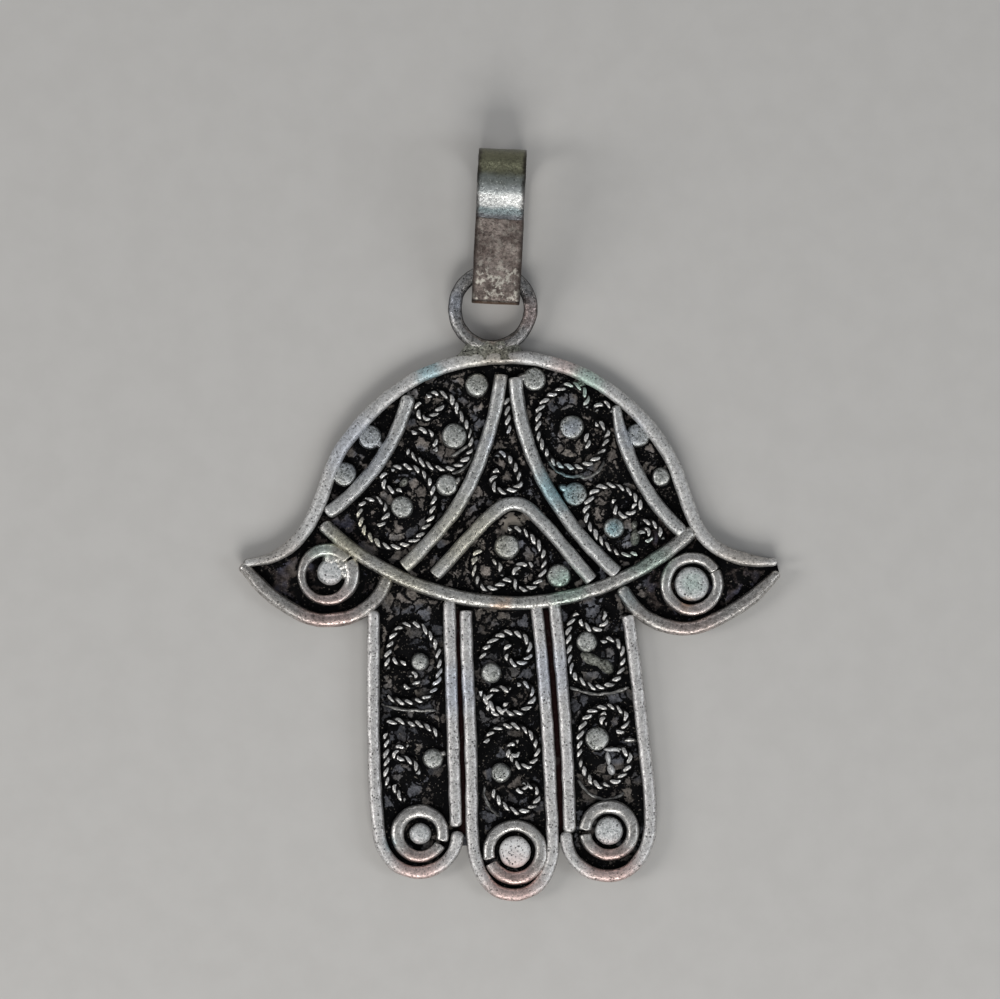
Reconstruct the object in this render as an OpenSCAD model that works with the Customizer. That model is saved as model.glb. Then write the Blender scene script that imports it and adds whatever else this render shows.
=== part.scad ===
// Hamsa pendant: an open hand of sheet metal with round border wires, dividing wires, eye rings,
// granules and scrolls soldered on its face, a hanging ring soldered to its top edge, and a loose
// folded-strip bail on that ring. It lies on its back, with its face up, its fingers towards -Y
// and its bail towards +Y. Lengths are in millimetres.

/* [Hand] */
// Width of the hand from thumb tip to thumb tip
hand_w = 38.1; // [30:0.1:60]
// Height of the dome above the lowest point of the palm arc
palm_h = 17.5; // [14:0.1:28]
// Length of the middle finger below the palm arc
finger_l = 21.0; // [16:0.1:34]
// Thickness of the backing sheet
sheet_t = 0.6; // [0.4:0.05:1]
// How far the sheet reaches past the middle of a border wire
sheet_lip = 0.3; // [0.15:0.05:0.35]

/* [Wires] */
// Diameter of the rim wire over the dome
rim_wire_d = 0.88; // [0.75:0.01:1.2]
// Diameter of the palm arc and of the wires under the thumbs
palm_wire_d = 0.82; // [0.65:0.01:1.1]
// Diameter of the bent wires round the fingers
finger_wire_d = 0.80; // [0.65:0.01:1.1]
// Diameter of the dividing wires and of the chevron
divider_wire_d = 0.78; // [0.6:0.01:1]
// How deep a wire is bedded in the solder on the sheet
wire_bed = 0.1; // [0.05:0.01:0.15]

/* [Eye rings] */
// Outer diameter of the largest eye ring
eye_d = 4.65; // [3.8:0.05:6]
// Diameter of the wire of the eye rings
eye_wire_d = 0.84; // [0.6:0.01:1.1]
// Width of the split in an eye ring
eye_split = 0.3; // [0.1:0.05:0.6]
// Diameter of the bead in the largest eye ring
eye_bead_d = 2.2; // [1.4:0.05:2.8]
// Height of the eye beads above the sheet
eye_bead_h = 0.66; // [0.4:0.02:1]

/* [Granules and scrolls] */
// Diameter of the largest granule
granule_d = 1.75; // [1:0.05:2.4]
// Height of the granules above the sheet
granule_h = 0.6; // [0.4:0.02:1]
// Outer diameter of the largest scroll
scroll_d = 5.4; // [4:0.1:7]
// Width of the scroll wire
scroll_wire_w = 0.36; // [0.2:0.02:0.6]
// Height of the scroll wire above the sheet
scroll_wire_h = 0.3; // [0.15:0.05:0.5]

/* [Hanging ring] */
// Inner diameter of the hanging ring
ring_inner_d = 4.5; // [4.2:0.1:6]
// Diameter of the hanging ring's wire
ring_wire_d = 0.92; // [0.7:0.02:1]
// Height of the ring's middle above the back of the sheet
ring_z = 0.95; // [0.85:0.01:1.2]
// Half width of the solder foot where it meets the rim
foot_half_w = 2.3; // [1.6:0.1:3]
// Thickness of the solder foot
foot_t = 0.9; // [0.6:0.05:1.2]

/* [Bail] */
// Length of the bail
bail_l = 11.0; // [9.5:0.1:16]
// Width of the bail's strip
bail_w = 3.3; // [2:0.1:3.3]
// Thickness of the bail's strip
bail_t = 0.35; // [0.25:0.05:0.4]
// Depth of the bail at its loop
bail_loop_depth = 5.3; // [4.4:0.1:7]
// Depth of the bail at its closed end
bail_end_depth = 3.4; // [3.3:0.1:4]
// Length of the strip's cut end past the start of the closing bend
bail_lip = 1.1; // [0.6:0.1:1.3]
// Distance of the closed end from the middle of the hanging ring
bail_end_at = 0.3; // [0.2:0.05:0.45]
// Lean of the bail round the hanging ring
bail_lean = 4; // [0:0.5:10]

/* [Hidden] */

wire_fn = 32;
ring_fn = 72;
sheet_step = 12;
// A bend that turns less than this is a straight rod.
straight_turn = 1.2;
// How far a stretch of wire stops short of a bend's end, and how much thicker the ball there is.
bend_short = 0.05;
bend_ball = 0.04;
// Place of the hanging ring as a share of the half width, and how far its wire is sunk into the rim.
ring_across = -0.067;
ring_bite = 0.15;
// Where the solder foot meets the ring, as a share of the ring's middle radius down from its middle.
foot_reach = 0.87;

half_w = hand_w / 2;
ring_mid_r = (ring_inner_d + ring_wire_d) / 2;

// A place on the hand. The origin is where the centre line crosses the palm arc. Across is a share of
// the half width. Along is a share of the palm height above the arc and of the finger length below it.
function place(p) = [p[0] * half_w, p[1] * (p[1] > 0 ? palm_h : finger_l)];
function places(rows) = [for (r = rows) len(r) > 2 ? concat(place(r), [r[2]]) : place(r)];

// Routes of the wires, with the columns across, along and, where it is set by hand, heading in degrees.
RIM = [
    [-0.996, 0.157, 8], [-0.854, 0.204], [-0.749, 0.331, 62], [-0.621, 0.645], [-0.306, 0.937],
    [-0.009, 1, 0],
    [0.445, 0.8], [0.591, 0.604], [0.666, 0.396, -70], [0.741, 0.249, -42], [0.996, 0.163, 2]
];
THUMB_LEFT = [[-1, 0.143, -48], [-0.865, 0], [-0.707, -0.061, -3], [-0.557, -0.031], [-0.467, 0.082]];
THUMB_RIGHT = [[0.426, 0.041], [0.505, -0.048], [0.659, -0.09, 0], [0.812, -0.041], [1, 0.118]];
PALM_ARC = [[-0.692, 0.306], [-0.373, 0.082], [0.017, 0, 0], [0.362, 0.082], [0.67, 0.286]];
FINGER_LEFT = [
    [-0.512, -0.044, -90], [-0.512, -0.429, -89], [-0.49, -0.796, -82], [-0.351, -0.92, 0],
    [-0.199, -0.796, 88]
];
FINGER_LEFT_BAR = [[-0.229, -0.01], [-0.216, -0.367], [-0.201, -0.748]];
FINGER_MIDDLE = [
    [-0.167, -0.034, -90], [-0.141, -0.827, -86], [0.013, -0.997, 0], [0.161, -0.83, 92],
    [0.144, -0.446, 94], [0.103, -0.048, 97]
];
FINGER_RIGHT_BAR = [[0.167, -0.034], [0.201, -0.333], [0.223, -0.769]];
FINGER_RIGHT = [
    [0.445, -0.051, -82], [0.501, -0.435, -84], [0.527, -0.772, -93], [0.366, -0.932, 180],
    [0.21, -0.799, 89]
];
DIVIDERS = [
    [[-0.385, 0.824], [-0.463, 0.608], [-0.67, 0.371]],
    [[0.396, 0.796], [0.486, 0.49], [0.632, 0.294]],
    [[-0.036, 0.922], [-0.081, 0.686], [-0.174, 0.437], [-0.396, 0.147]],
    [[0.017, 0.91], [0.084, 0.588], [0.212, 0.359], [0.4, 0.122]],
    [[-0.28, 0.114, 48], [-0.081, 0.365, 44], [0.013, 0.416, 0], [0.088, 0.378, -44], [0.302, 0.094, -50]]
];

// Corners of the sheet that joins the fingers to the palm, and the strips that join finger to finger.
PALM_WEB = [[-0.525, -0.1], [-0.515, -0.02], [-0.44, 0.09], [0.41, 0.06], [0.455, -0.03], [0.463, -0.1]];
// Columns: left edge across, right edge across, lower end along.
FINGER_WEBS = [[-0.225, -0.15, -0.83], [0.11, 0.21, -0.82]];

// Columns: across, along, share of the largest ring, angle of the split, and the bead's
// share of the largest bead, its place across and its place along.
EYES = [
    [-0.689, 0.11, 0.92, 48, 0.81, -0.666, 0.118],
    [0.681, 0.073, 0.97, 30, 1.04, 0.681, 0.073],
    [-0.34, -0.789, 0.86, -20, 0.67, -0.34, -0.789],
    [0.017, -0.85, 1, 200, 1, 0.017, -0.85],
    [0.37, -0.779, 0.92, 180, 0.85, 0.37, -0.779]
];

// Columns: across, along, share of the largest granule.
GRANULES = [
    [-0.126, 0.886, 0.94], [-0.212, 0.678, 1], [-0.527, 0.673, 0.94], [-0.623, 0.522, 0.97],
    [-0.238, 0.478, 0.86], [-0.407, 0.388, 0.9], [0.088, 0.91, 0.94], [0.231, 0.714, 0.94],
    [0.478, 0.682, 0.95], [0.565, 0.51, 0.75], [0.242, 0.441, 0.95], [0.388, 0.302, 0.82],
    [-0.013, 0.224, 0.99], [0.182, 0.106, 0.94], [-0.34, -0.204, 0.7], [-0.291, -0.534, 0.82],
    [-0.073, -0.241, 0.8], [-0.036, -0.582, 0.78], [0.287, -0.136, 0.82], [0.325, -0.466, 0.94]
];

// Columns: across, along, share of the largest scroll, start angle, sweep.
SCROLLS = [
    [-0.276, 0.698, 0.95, -150, 250], [-0.32, 0.62, 0.4, 60, 220],
    [-0.426, 0.388, 1, -70, 290], [-0.51, 0.37, 0.42, 40, 230],
    [0.235, 0.714, 0.98, 80, 290], [0.3, 0.67, 0.36, -120, 200],
    [0.388, 0.355, 0.78, 10, 300], [0.37, 0.4, 0.36, 100, 240],
    [-0.024, 0.518, 0.45, -40, 280],
    [0.062, 0.171, 0.75, -90, 260], [-0.088, 0.122, 0.38, 20, 280],
    [-0.37, -0.16, 0.66, -20, 220], [-0.37, -0.25, 0.66, 170, 200],
    [-0.366, -0.5, 0.68, 0, 210], [-0.366, -0.61, 0.68, 150, 190],
    [0.009, -0.156, 0.44, -60, 260], [-0.002, -0.299, 0.62, 150, 250],
    [0.017, -0.497, 0.66, -60, 250], [0.028, -0.646, 0.58, 130, 220],
    [0.321, -0.13, 0.66, -20, 230], [0.321, -0.21, 0.66, 160, 210],
    [0.355, -0.49, 0.66, -10, 230], [0.355, -0.56, 0.66, 160, 210]
];

// The hanging ring stands a little left of the centre line, with its wire against the rim.
ring_at = [ring_across * half_w, palm_h + rim_wire_d / 2 + ring_inner_d / 2 + ring_wire_d - ring_bite];

bail_loop_r = bail_loop_depth / 2;
bail_end_r = bail_end_depth / 2;
bail_top = bail_end_at + bail_l;
bail_loop_at = [bail_top - bail_loop_r, bail_loop_r];
bail_end_centre = [bail_end_at + bail_end_r, bail_end_r];
bail_run = bail_loop_at[0] - bail_end_centre[0];
bail_slope = 2 * atan((bail_loop_r - bail_end_r) / bail_run);

// The whole pendant is centred on its own box, so its origin is in the middle of its back.
top_y = ring_at[1] + bail_top * cos(bail_lean) + bail_w / 2 * sin(bail_lean);
bottom_y = FINGER_MIDDLE[2][1] * finger_l - finger_wire_d / 2;
middle_y = (top_y + bottom_y) / 2;

function wrap(a) = a - 360 * round(a / 360);
function towards(a, b) = atan2(b[1] - a[1], b[0] - a[0]);
function unit(a) = [cos(a), sin(a)];
function flat(p) = [p[0], p[1]];

// Heading of a route at point i: as set by hand, or that of the circle through it and its neighbours.
function heading(p, i) =
    let (last = len(p) - 1, a = p[max(0, min(i - 1, last - 2))], b = p[max(1, min(i, last - 1))],
         c = p[min(last, max(i + 1, 2))])
    len(p[i]) > 2 ? p[i][2]
    : i == 0 ? towards(a, b) - wrap(towards(b, c) - towards(a, c))
    : i == last ? towards(b, c) + wrap(towards(b, c) - towards(a, b)) - wrap(towards(a, c) - towards(a, b))
    : towards(a, b) + wrap(towards(b, c) - towards(a, c));

// One bend, with the columns start, heading, turn and radius, which is negative for a turn to the right.
function bend(a, h, b) =
    let (half = wrap(towards(a, b) - h), half_turn = abs(half) < 0.02 ? 0.02 : half)
    [flat(a), h, 2 * half_turn, norm(flat(b) - flat(a)) / (2 * sin(half_turn))];

// Two bends that join smoothly and lead from a to b with the headings that the route has there.
function bend_pair(a, h, b, k) =
    let (t = unit(h) + unit(k), v = flat(b) - flat(a), gap = 2 * (1 - unit(h) * unit(k)),
         reach = gap < 0.000001 ? v * v / (2 * (v * t)) : (-(v * t) + sqrt((v * t) ^ 2 + gap * (v * v))) / gap,
         m = (flat(a) + flat(b) + reach * (unit(h) - unit(k))) / 2,
         first = bend(a, h, m))
    [first, bend(m, h + first[2], b)];

function chord(b) = 2 * b[3] * sin(b[2] / 2);

function bends(p) =
    len(p) == 3 && len(p[0]) == 2 ? [bend(p[0], heading(p, 0), p[2])]
    : [for (i = [0 : len(p) - 2]) each bend_pair(p[i], heading(p, i), p[i + 1], heading(p, i + 1))];

// Points along a route, moved sideways: to its left where aside is positive.
function trace(rows, aside) =
    [for (b = bends(places(rows)))
        let (centre = b[0] + b[3] * unit(b[1] + 90), steps = ceil(abs(b[2]) / sheet_step))
        for (k = [0 : steps]) centre - (b[3] - aside) * unit(b[1] + 90 + b[2] * k / steps)];

function backwards(p) = [for (i = [len(p) - 1 : -1 : 0]) p[i]];

// Height of the middle of a wire that is bedded on the sheet.
function seat(d) = sheet_t + d / 2 - wire_bed;

// Round wire along a route. Each bend is a stretch of ring, or a straight rod where it hardly turns, and
// stops short inside a ball, a touch thicker than the wire, where the next one starts.
module wire(rows, d) {
    route = bends(places(rows));
    for (b = route) {
        if (abs(b[2]) < straight_turn)
            translate(concat(b[0] + bend_short * unit(b[1] + b[2] / 2), [seat(d)]))
                rotate([0, 90, b[1] + b[2] / 2])
                    cylinder(d = d, h = chord(b) - 2 * bend_short, $fn = wire_fn);
        else
            bent_wire(b, d, bend_short / abs(b[3]) * 180 / PI);
    }
    for (i = [1 : 1 : len(route) - 1])
        translate(concat(route[i][0], [seat(d)]))
            sphere(d = d + bend_ball, $fn = wire_fn);
}

module bent_wire(b, d, short) {
    from = b[3] > 0 ? b[1] - 90 : b[1] + 90 + b[2];
    turn = abs(b[2]) - 2 * short;
    translate(concat(b[0] + b[3] * unit(b[1] + 90), [seat(d)]))
        rotate([0, 0, from + short])
            rotate_extrude(angle = turn, $fn = max(ring_fn, 720 / turn))
                translate([abs(b[3]), 0])
                    circle(d = d, $fn = wire_fn);
}

module finger_sheet(outer, inner, side) {
    polygon(concat(trace(outer, side * sheet_lip), backwards(trace(inner, -side * sheet_lip))));
}

// Backing sheet, sawn to the outline of the border wires.
module backing_sheet() {
    color("#2b2927")
        linear_extrude(sheet_t)
            union() {
                polygon(concat(
                    trace(RIM, sheet_lip),
                    backwards(trace(THUMB_RIGHT, -sheet_lip)),
                    backwards(trace(THUMB_LEFT, -sheet_lip))
                ));
                finger_sheet(FINGER_LEFT, FINGER_LEFT_BAR, -1);
                polygon(trace(FINGER_MIDDLE, -sheet_lip));
                finger_sheet(FINGER_RIGHT, FINGER_RIGHT_BAR, 1);
                polygon([for (r = PALM_WEB) place(r)]);
                for (w = FINGER_WEBS)
                    translate([w[0] * half_w, w[2] * finger_l])
                        square([(w[1] - w[0]) * half_w, -w[2] * finger_l]);
            }
}

module border_wires() {
    color("#a9a59c") {
        wire(RIM, rim_wire_d);
        wire(THUMB_LEFT, palm_wire_d);
        wire(THUMB_RIGHT, palm_wire_d);
        wire(PALM_ARC, palm_wire_d);
    }
}

module finger_wires() {
    color("#aeaaa2") {
        wire(FINGER_LEFT, finger_wire_d);
        wire(FINGER_MIDDLE, finger_wire_d);
        wire(FINGER_RIGHT, finger_wire_d);
        wire(FINGER_LEFT_BAR, divider_wire_d);
        wire(FINGER_RIGHT_BAR, divider_wire_d);
    }
}

module divider_wires() {
    color("#a39f97")
        for (d = DIVIDERS)
            wire(d, divider_wire_d);
}

// A bead that has slumped on the sheet: half a ball, worn flat on top.
module slumped_bead(d, h) {
    rotate_extrude($fn = ring_fn)
        intersection() {
            circle(d = d, $fn = ring_fn);
            square([d, h]);
        }
}

// Split rings with a bead in the middle, one on each thumb and one at each finger tip.
module eye_rings() {
    color("#b3afa8")
        for (e = EYES) {
            mid_r = (e[2] * eye_d - eye_wire_d) / 2;
            split = eye_split / mid_r * 180 / PI;
            translate(concat(place(e), [seat(eye_wire_d)]))
                rotate([0, 0, e[3] + split / 2])
                    rotate_extrude(angle = 360 - split, $fn = ring_fn)
                        translate([mid_r, 0])
                            circle(d = eye_wire_d, $fn = wire_fn);
            translate(concat(place([e[5], e[6]]), [sheet_t - wire_bed]))
                slumped_bead(e[4] * eye_bead_d, eye_bead_h + wire_bed);
        }
}

module granules() {
    color("#b8b5ae")
        for (g = GRANULES)
            translate(concat(place(g), [sheet_t - wire_bed]))
                slumped_bead(g[2] * granule_d, granule_h + wire_bed);
}

// Scroll wires, raised on the sheet between the dividing wires.
module scroll_wires() {
    color("#8d8a84")
        for (s = SCROLLS)
            translate(concat(place(s), [sheet_t - wire_bed]))
                rotate([0, 0, s[3]])
                    rotate_extrude(angle = s[4], $fn = ring_fn)
                        translate([s[2] * scroll_d / 2 - scroll_wire_w, 0])
                            square([scroll_wire_w, scroll_wire_h + wire_bed]);
}

module hanging_ring() {
    foot_top = ring_at[1] - ring_mid_r * foot_reach;
    foot_root = palm_h - rim_wire_d / 4;
    color("#7d7c78") {
        translate(concat(ring_at, [ring_z]))
            rotate_extrude($fn = ring_fn)
                translate([ring_mid_r, 0])
                    circle(d = ring_wire_d, $fn = wire_fn);
        translate([0, 0, ring_z - foot_t / 2])
            linear_extrude(foot_t)
                polygon([
                    [ring_at[0] - foot_half_w, foot_root],
                    [ring_at[0] + foot_half_w, foot_root],
                    [ring_at[0] + ring_mid_r / 2, foot_top],
                    [ring_at[0] - ring_mid_r / 2, foot_top]
                ]);
    }
}

// One curved stretch of the bail's strip, from one angle over a sweep, in the plane of its side.
module strip_bend(centre, r, from, sweep) {
    translate(centre)
        rotate([0, 0, from])
            rotate_extrude(angle = sweep, $fn = ring_fn)
                translate([r - bail_t, -bail_w / 2])
                    square([bail_t, bail_w]);
}

// Hand: everything that is soldered to the sheet, as one solid.
module hamsa() {
    translate([0, -middle_y, 0]) {
        backing_sheet();
        border_wires();
        finger_wires();
        divider_wires();
        eye_rings();
        granules();
        scroll_wires();
        hanging_ring();
    }
}

// Bail: one strip, bent round into a loop, with its cut end soldered over the closing bend.
module bail() {
    front_start = bail_end_centre + bail_end_r * unit(90 + bail_slope);
    front_l = norm(bail_loop_at + bail_loop_r * unit(90 + bail_slope) - front_start);
    color("#9c968a")
        translate(concat(ring_at - [0, middle_y], [0]))
            rotate([0, 0, -bail_lean])
                rotate([90, 0, 90]) {
                    strip_bend(bail_loop_at, bail_loop_r, -90, 180 + bail_slope);
                    strip_bend(bail_end_centre, bail_end_r, 90 + bail_slope, 180 - bail_slope);
                    translate([bail_end_centre[0], 0, -bail_w / 2])
                        cube([bail_run, bail_t, bail_w]);
                    translate(concat(front_start, [0]))
                        rotate([0, 0, bail_slope])
                            translate([-bail_lip, -bail_t, -bail_w / 2])
                                cube([front_l + bail_lip, bail_t, bail_w]);
                }
}

hamsa();
bail();
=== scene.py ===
"""Looks of a worn, blackened silver hamsa pendant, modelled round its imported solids.

Every shape is worked in millimetres in the hand's own frame, whose origin is where the centre line
crosses the palm arc, and is moved into the frame, in metres, when its piece is made.
"""

import logging
import math
from dataclasses import dataclass
from enum import Enum
from typing import Iterable, Mapping, Optional, Sequence, Union

import bmesh
import bpy
from mathutils import Matrix, Vector, noise
from mathutils.bvhtree import BVHTree
from mathutils.geometry import tessellate_polygon
from mathutils.kdtree import KDTree


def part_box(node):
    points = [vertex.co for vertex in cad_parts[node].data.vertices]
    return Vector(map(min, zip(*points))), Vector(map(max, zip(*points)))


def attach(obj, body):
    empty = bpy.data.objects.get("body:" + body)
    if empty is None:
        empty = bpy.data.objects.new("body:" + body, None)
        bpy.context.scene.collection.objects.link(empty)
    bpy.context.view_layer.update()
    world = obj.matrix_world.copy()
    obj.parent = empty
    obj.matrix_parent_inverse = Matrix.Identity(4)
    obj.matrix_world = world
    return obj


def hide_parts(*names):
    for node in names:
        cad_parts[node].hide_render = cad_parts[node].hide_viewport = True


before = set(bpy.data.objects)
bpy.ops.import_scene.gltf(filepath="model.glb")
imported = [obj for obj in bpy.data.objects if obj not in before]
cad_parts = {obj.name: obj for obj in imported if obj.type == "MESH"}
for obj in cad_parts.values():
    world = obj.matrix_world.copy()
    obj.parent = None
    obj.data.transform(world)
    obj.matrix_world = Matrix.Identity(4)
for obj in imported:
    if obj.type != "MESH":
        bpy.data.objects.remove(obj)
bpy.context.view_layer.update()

LOG = logging.getLogger("hamsa")
MM = 0.001
NOISE_SEED = 7

Row = tuple[float, ...]
Colour = tuple[float, float, float]
Mesh = bmesh.types.BMesh
Vert = bmesh.types.BMVert
Edge = bmesh.types.BMEdge
Socket = bpy.types.NodeSocket
Sockets = bpy.types.bpy_prop_collection
Value = Union[Socket, float, Row]


class Body(Enum):
    """Bodies that pieces ride on."""

    HAND = "hand"
    BAIL = "bail"


class Node(Enum):
    """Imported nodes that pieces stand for."""

    HAND = "hamsa"
    BAIL = "bail"


class Slot(Enum):
    """Material slots of the record."""

    HAND = "hand_silver"
    BAIL = "bail_silver"
    SHEET = "blackened_sheet"
    GRANULE = "granule_silver"
    SCROLL = "scroll_silver"
    SOLDER = "solder_silver"


class WireEnd(Enum):
    """How a wire ends: its reach past the last section, as a share of its radius, and its last width."""

    ROUND = (0.75, 0.25)
    BLUNT = (0.25, 0.72)
    TAPERED = (2.6, 0.3)

    @property
    def twice(self) -> "Ends":
        """Both ends of a wire in this form."""
        return self, self


Ends = tuple[WireEnd, WireEnd]


class Blend(Enum):
    """Ways of laying one colour over another."""

    COVER = "MIX"
    TINT = "COLOR"
    DARKEN = "MULTIPLY"


class SheetMap(Enum):
    """Values that the sheet's mesh carries for its finish: room in millimetres, and two shares."""

    ROOM = "room_mm"
    GAP = "finger_gap"
    BARE = "bare_share"


def unit(angle: float) -> Vector:
    """Returns the direction of an angle in radians, in the plane."""
    return Vector((math.cos(angle), math.sin(angle)))


def wrap(angle: float) -> float:
    """Returns the same angle between minus and plus half a turn."""
    return (angle + math.pi) % (2 * math.pi) - math.pi


def towards(a: Vector, b: Vector) -> float:
    """Returns the angle of the way from a to b."""
    return math.atan2(b.y - a.y, b.x - a.x)


def smooth_share(value: float, low: float, high: float) -> float:
    """Returns how far a value has come from low to high, from 0 to 1, with soft ends."""
    share = min(1.0, max(0.0, (value - low) / (high - low)))
    return share * share * (3 - 2 * share)


@dataclass(frozen=True)
class Bend:
    """One round stretch of a route; its radius is negative where it turns right."""

    start: Vector
    heading: float
    turn: float
    radius: float

    @classmethod
    def between(cls, a: Vector, heading: float, b: Vector) -> "Bend":
        """Returns the bend that leaves a with a heading and ends at b.

        Args:
            a: its start.
            heading: the heading at a, in radians.
            b: its end.

        Returns:
            The bend.
        """
        least = math.radians(0.02)
        half = wrap(towards(a, b) - heading)
        if abs(half) < least:
            half = least
        return cls(a, heading, 2 * half, (b - a).length / (2 * math.sin(half)))

    @property
    def centre(self) -> Vector:
        """Centre of the bend."""
        return self.start + self.radius * unit(self.heading + math.pi / 2)

    @property
    def length(self) -> float:
        """Length along the bend."""
        return abs(self.turn * self.radius)

    def at(self, share: float) -> tuple[Vector, float]:
        """Returns the place and heading at a share of the bend."""
        heading = self.heading + share * self.turn
        return self.centre - self.radius * unit(heading + math.pi / 2), heading


class Route:
    """A smooth path of round bends through a few rows of x, y and, where given, heading in degrees."""

    def __init__(self, rows: Sequence[Row]) -> None:
        """Works out the bends.

        Args:
            rows: places along the route, in millimetres.
        """
        self._points = [Vector(r[:2]) for r in rows]
        self._set = [math.radians(r[2]) if len(r) > 2 else None for r in rows]
        self.bends = self._work_out()
        self.length = sum(b.length for b in self.bends)

    def _heading(self, i: int) -> float:
        """Returns the heading at point i: as set, or that of the circle through it and its neighbours.

        Args:
            i: the point's number.

        Returns:
            The heading in radians.
        """
        if self._set[i] is not None:
            return self._set[i]
        last = len(self._points) - 1
        a = self._points[max(0, min(i - 1, last - 2))]
        b = self._points[max(1, min(i, last - 1))]
        c = self._points[min(last, max(i + 1, 2))]
        if i == 0:
            return towards(a, b) - wrap(towards(b, c) - towards(a, c))
        if i == last:
            return towards(b, c) + wrap(towards(b, c) - towards(a, b)) - wrap(towards(a, c) - towards(a, b))
        return towards(a, b) + wrap(towards(b, c) - towards(a, c))

    def _pair(self, i: int) -> list[Bend]:
        """Returns two bends that join smoothly and lead from point i to the next.

        Args:
            i: the first point's number.

        Returns:
            The two bends.
        """
        a, b = self._points[i], self._points[i + 1]
        h, k = self._heading(i), self._heading(i + 1)
        t, v = unit(h) + unit(k), b - a
        gap = 2 * (1 - unit(h).dot(unit(k)))
        parallel = 1e-6
        if gap < parallel:
            reach = v.dot(v) / (2 * v.dot(t))
        else:
            reach = (-v.dot(t) + math.sqrt(v.dot(t) ** 2 + gap * v.dot(v))) / gap
        middle = (a + b + reach * (unit(h) - unit(k))) / 2
        first = Bend.between(a, h, middle)
        return [first, Bend.between(middle, h + first.turn, b)]

    def _work_out(self) -> list[Bend]:
        """Returns the bends of the whole route: a single one through three plain rows.

        Returns:
            The bends in order.
        """
        if len(self._points) == 3 and self._set[0] is None:
            return [Bend.between(self._points[0], self._heading(0), self._points[2])]
        return [b for i in range(len(self._points) - 1) for b in self._pair(i)]

    def at(self, distance: float) -> tuple[Vector, float]:
        """Returns the place and heading at a distance along the route.

        Args:
            distance: how far along it is, in millimetres.

        Returns:
            The place, and the heading in radians.
        """
        for bend in self.bends:
            if distance <= bend.length or bend is self.bends[-1]:
                return bend.at(distance / bend.length)
            distance -= bend.length
        raise ValueError("the route has no bends")

    def trace(self, aside: float, step: float = 0.2) -> list[Vector]:
        """Returns places beside the route, on its left where aside is positive.

        Args:
            aside: how far beside the route, in millimetres.
            step: about how far apart they are.

        Returns:
            The places in order.
        """
        count = max(2, math.ceil(self.length / step))
        spots = [self.at(self.length * i / count) for i in range(count + 1)]
        return [place + aside * unit(heading + math.pi / 2) for place, heading in spots]


class Outline:
    """A closed outline that knows what it holds."""

    def __init__(self, corners: Sequence[Vector]) -> None:
        """Fills the outline for its tests.

        Args:
            corners: its corners in order.
        """
        self.corners = list(corners)
        filled = tessellate_polygon([[c.to_3d() for c in self.corners]])
        self._tree = BVHTree.FromPolygons([c.to_3d() for c in self.corners], filled)

    def holds(self, spot: Vector) -> bool:
        """Returns whether a spot lies inside."""
        return self._tree.ray_cast(Vector((spot.x, spot.y, 1)), Vector((0, 0, -1)))[0] is not None

    def walk(self, step: float) -> list[Vector]:
        """Returns spots along the outline, a step apart at most.

        Args:
            step: the longest way between two spots.

        Returns:
            The spots in order.
        """
        spots = []
        for a, b in zip(self.corners, self.corners[1:] + self.corners[:1]):
            count = max(1, math.ceil((b - a).length / step))
            spots += [a.lerp(b, k / count) for k in range(count)]
        return spots


@dataclass(frozen=True)
class HandPlan:
    """Sizes that the whole hand is set out from, in millimetres.

    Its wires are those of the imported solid. The dressed wires are a little thicker, with solder and
    tarnish round them, and keep the same middles.
    """

    half_w: float = 19.05
    palm_h: float = 17.5
    finger_l: float = 21.0
    sheet_t: float = 0.6
    sheet_lip: float = 0.3
    wire_bed: float = 0.1
    tip_share: float = 0.997
    tip_wire_d: float = 0.8
    ring_across: float = -0.067
    ring_inner_d: float = 4.5
    ring_wire_d: float = 0.92
    ring_bite: float = 0.15
    ring_z: float = 0.95
    rim_wire_d: float = 0.88

    @property
    def shift(self) -> Vector:
        """Place of the hand's own origin in the frame."""
        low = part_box(Node.HAND.value)[0]
        return Vector((0, low.y / MM + self.tip_share * self.finger_l + self.tip_wire_d / 2, 0))

    @property
    def ring_mid_r(self) -> float:
        """Radius of the hanging ring at the middle of its wire."""
        return (self.ring_inner_d + self.ring_wire_d) / 2

    @property
    def ring_at(self) -> Vector:
        """Middle of the hanging ring."""
        above = self.rim_wire_d / 2 + self.ring_inner_d / 2 + self.ring_wire_d - self.ring_bite
        return Vector((self.ring_across * self.half_w, self.palm_h + above))

    def place(self, across: float, along: float) -> Vector:
        """Returns the place of two shares: of the half width, and of the palm height or finger length."""
        return Vector((across * self.half_w, along * (self.palm_h if along > 0 else self.finger_l)))

    def route(self, rows: Sequence[Row]) -> Route:
        """Returns the route through rows of shares across and along, and headings."""
        return Route([(*self.place(r[0], r[1]), *r[2:]) for r in rows])

    def seat(self, diameter: float) -> float:
        """Returns the height of the middle of a wire that is bedded on the sheet."""
        return self.sheet_t + diameter / 2 - self.wire_bed


PLAN = HandPlan()
SHIFT = PLAN.shift


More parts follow.
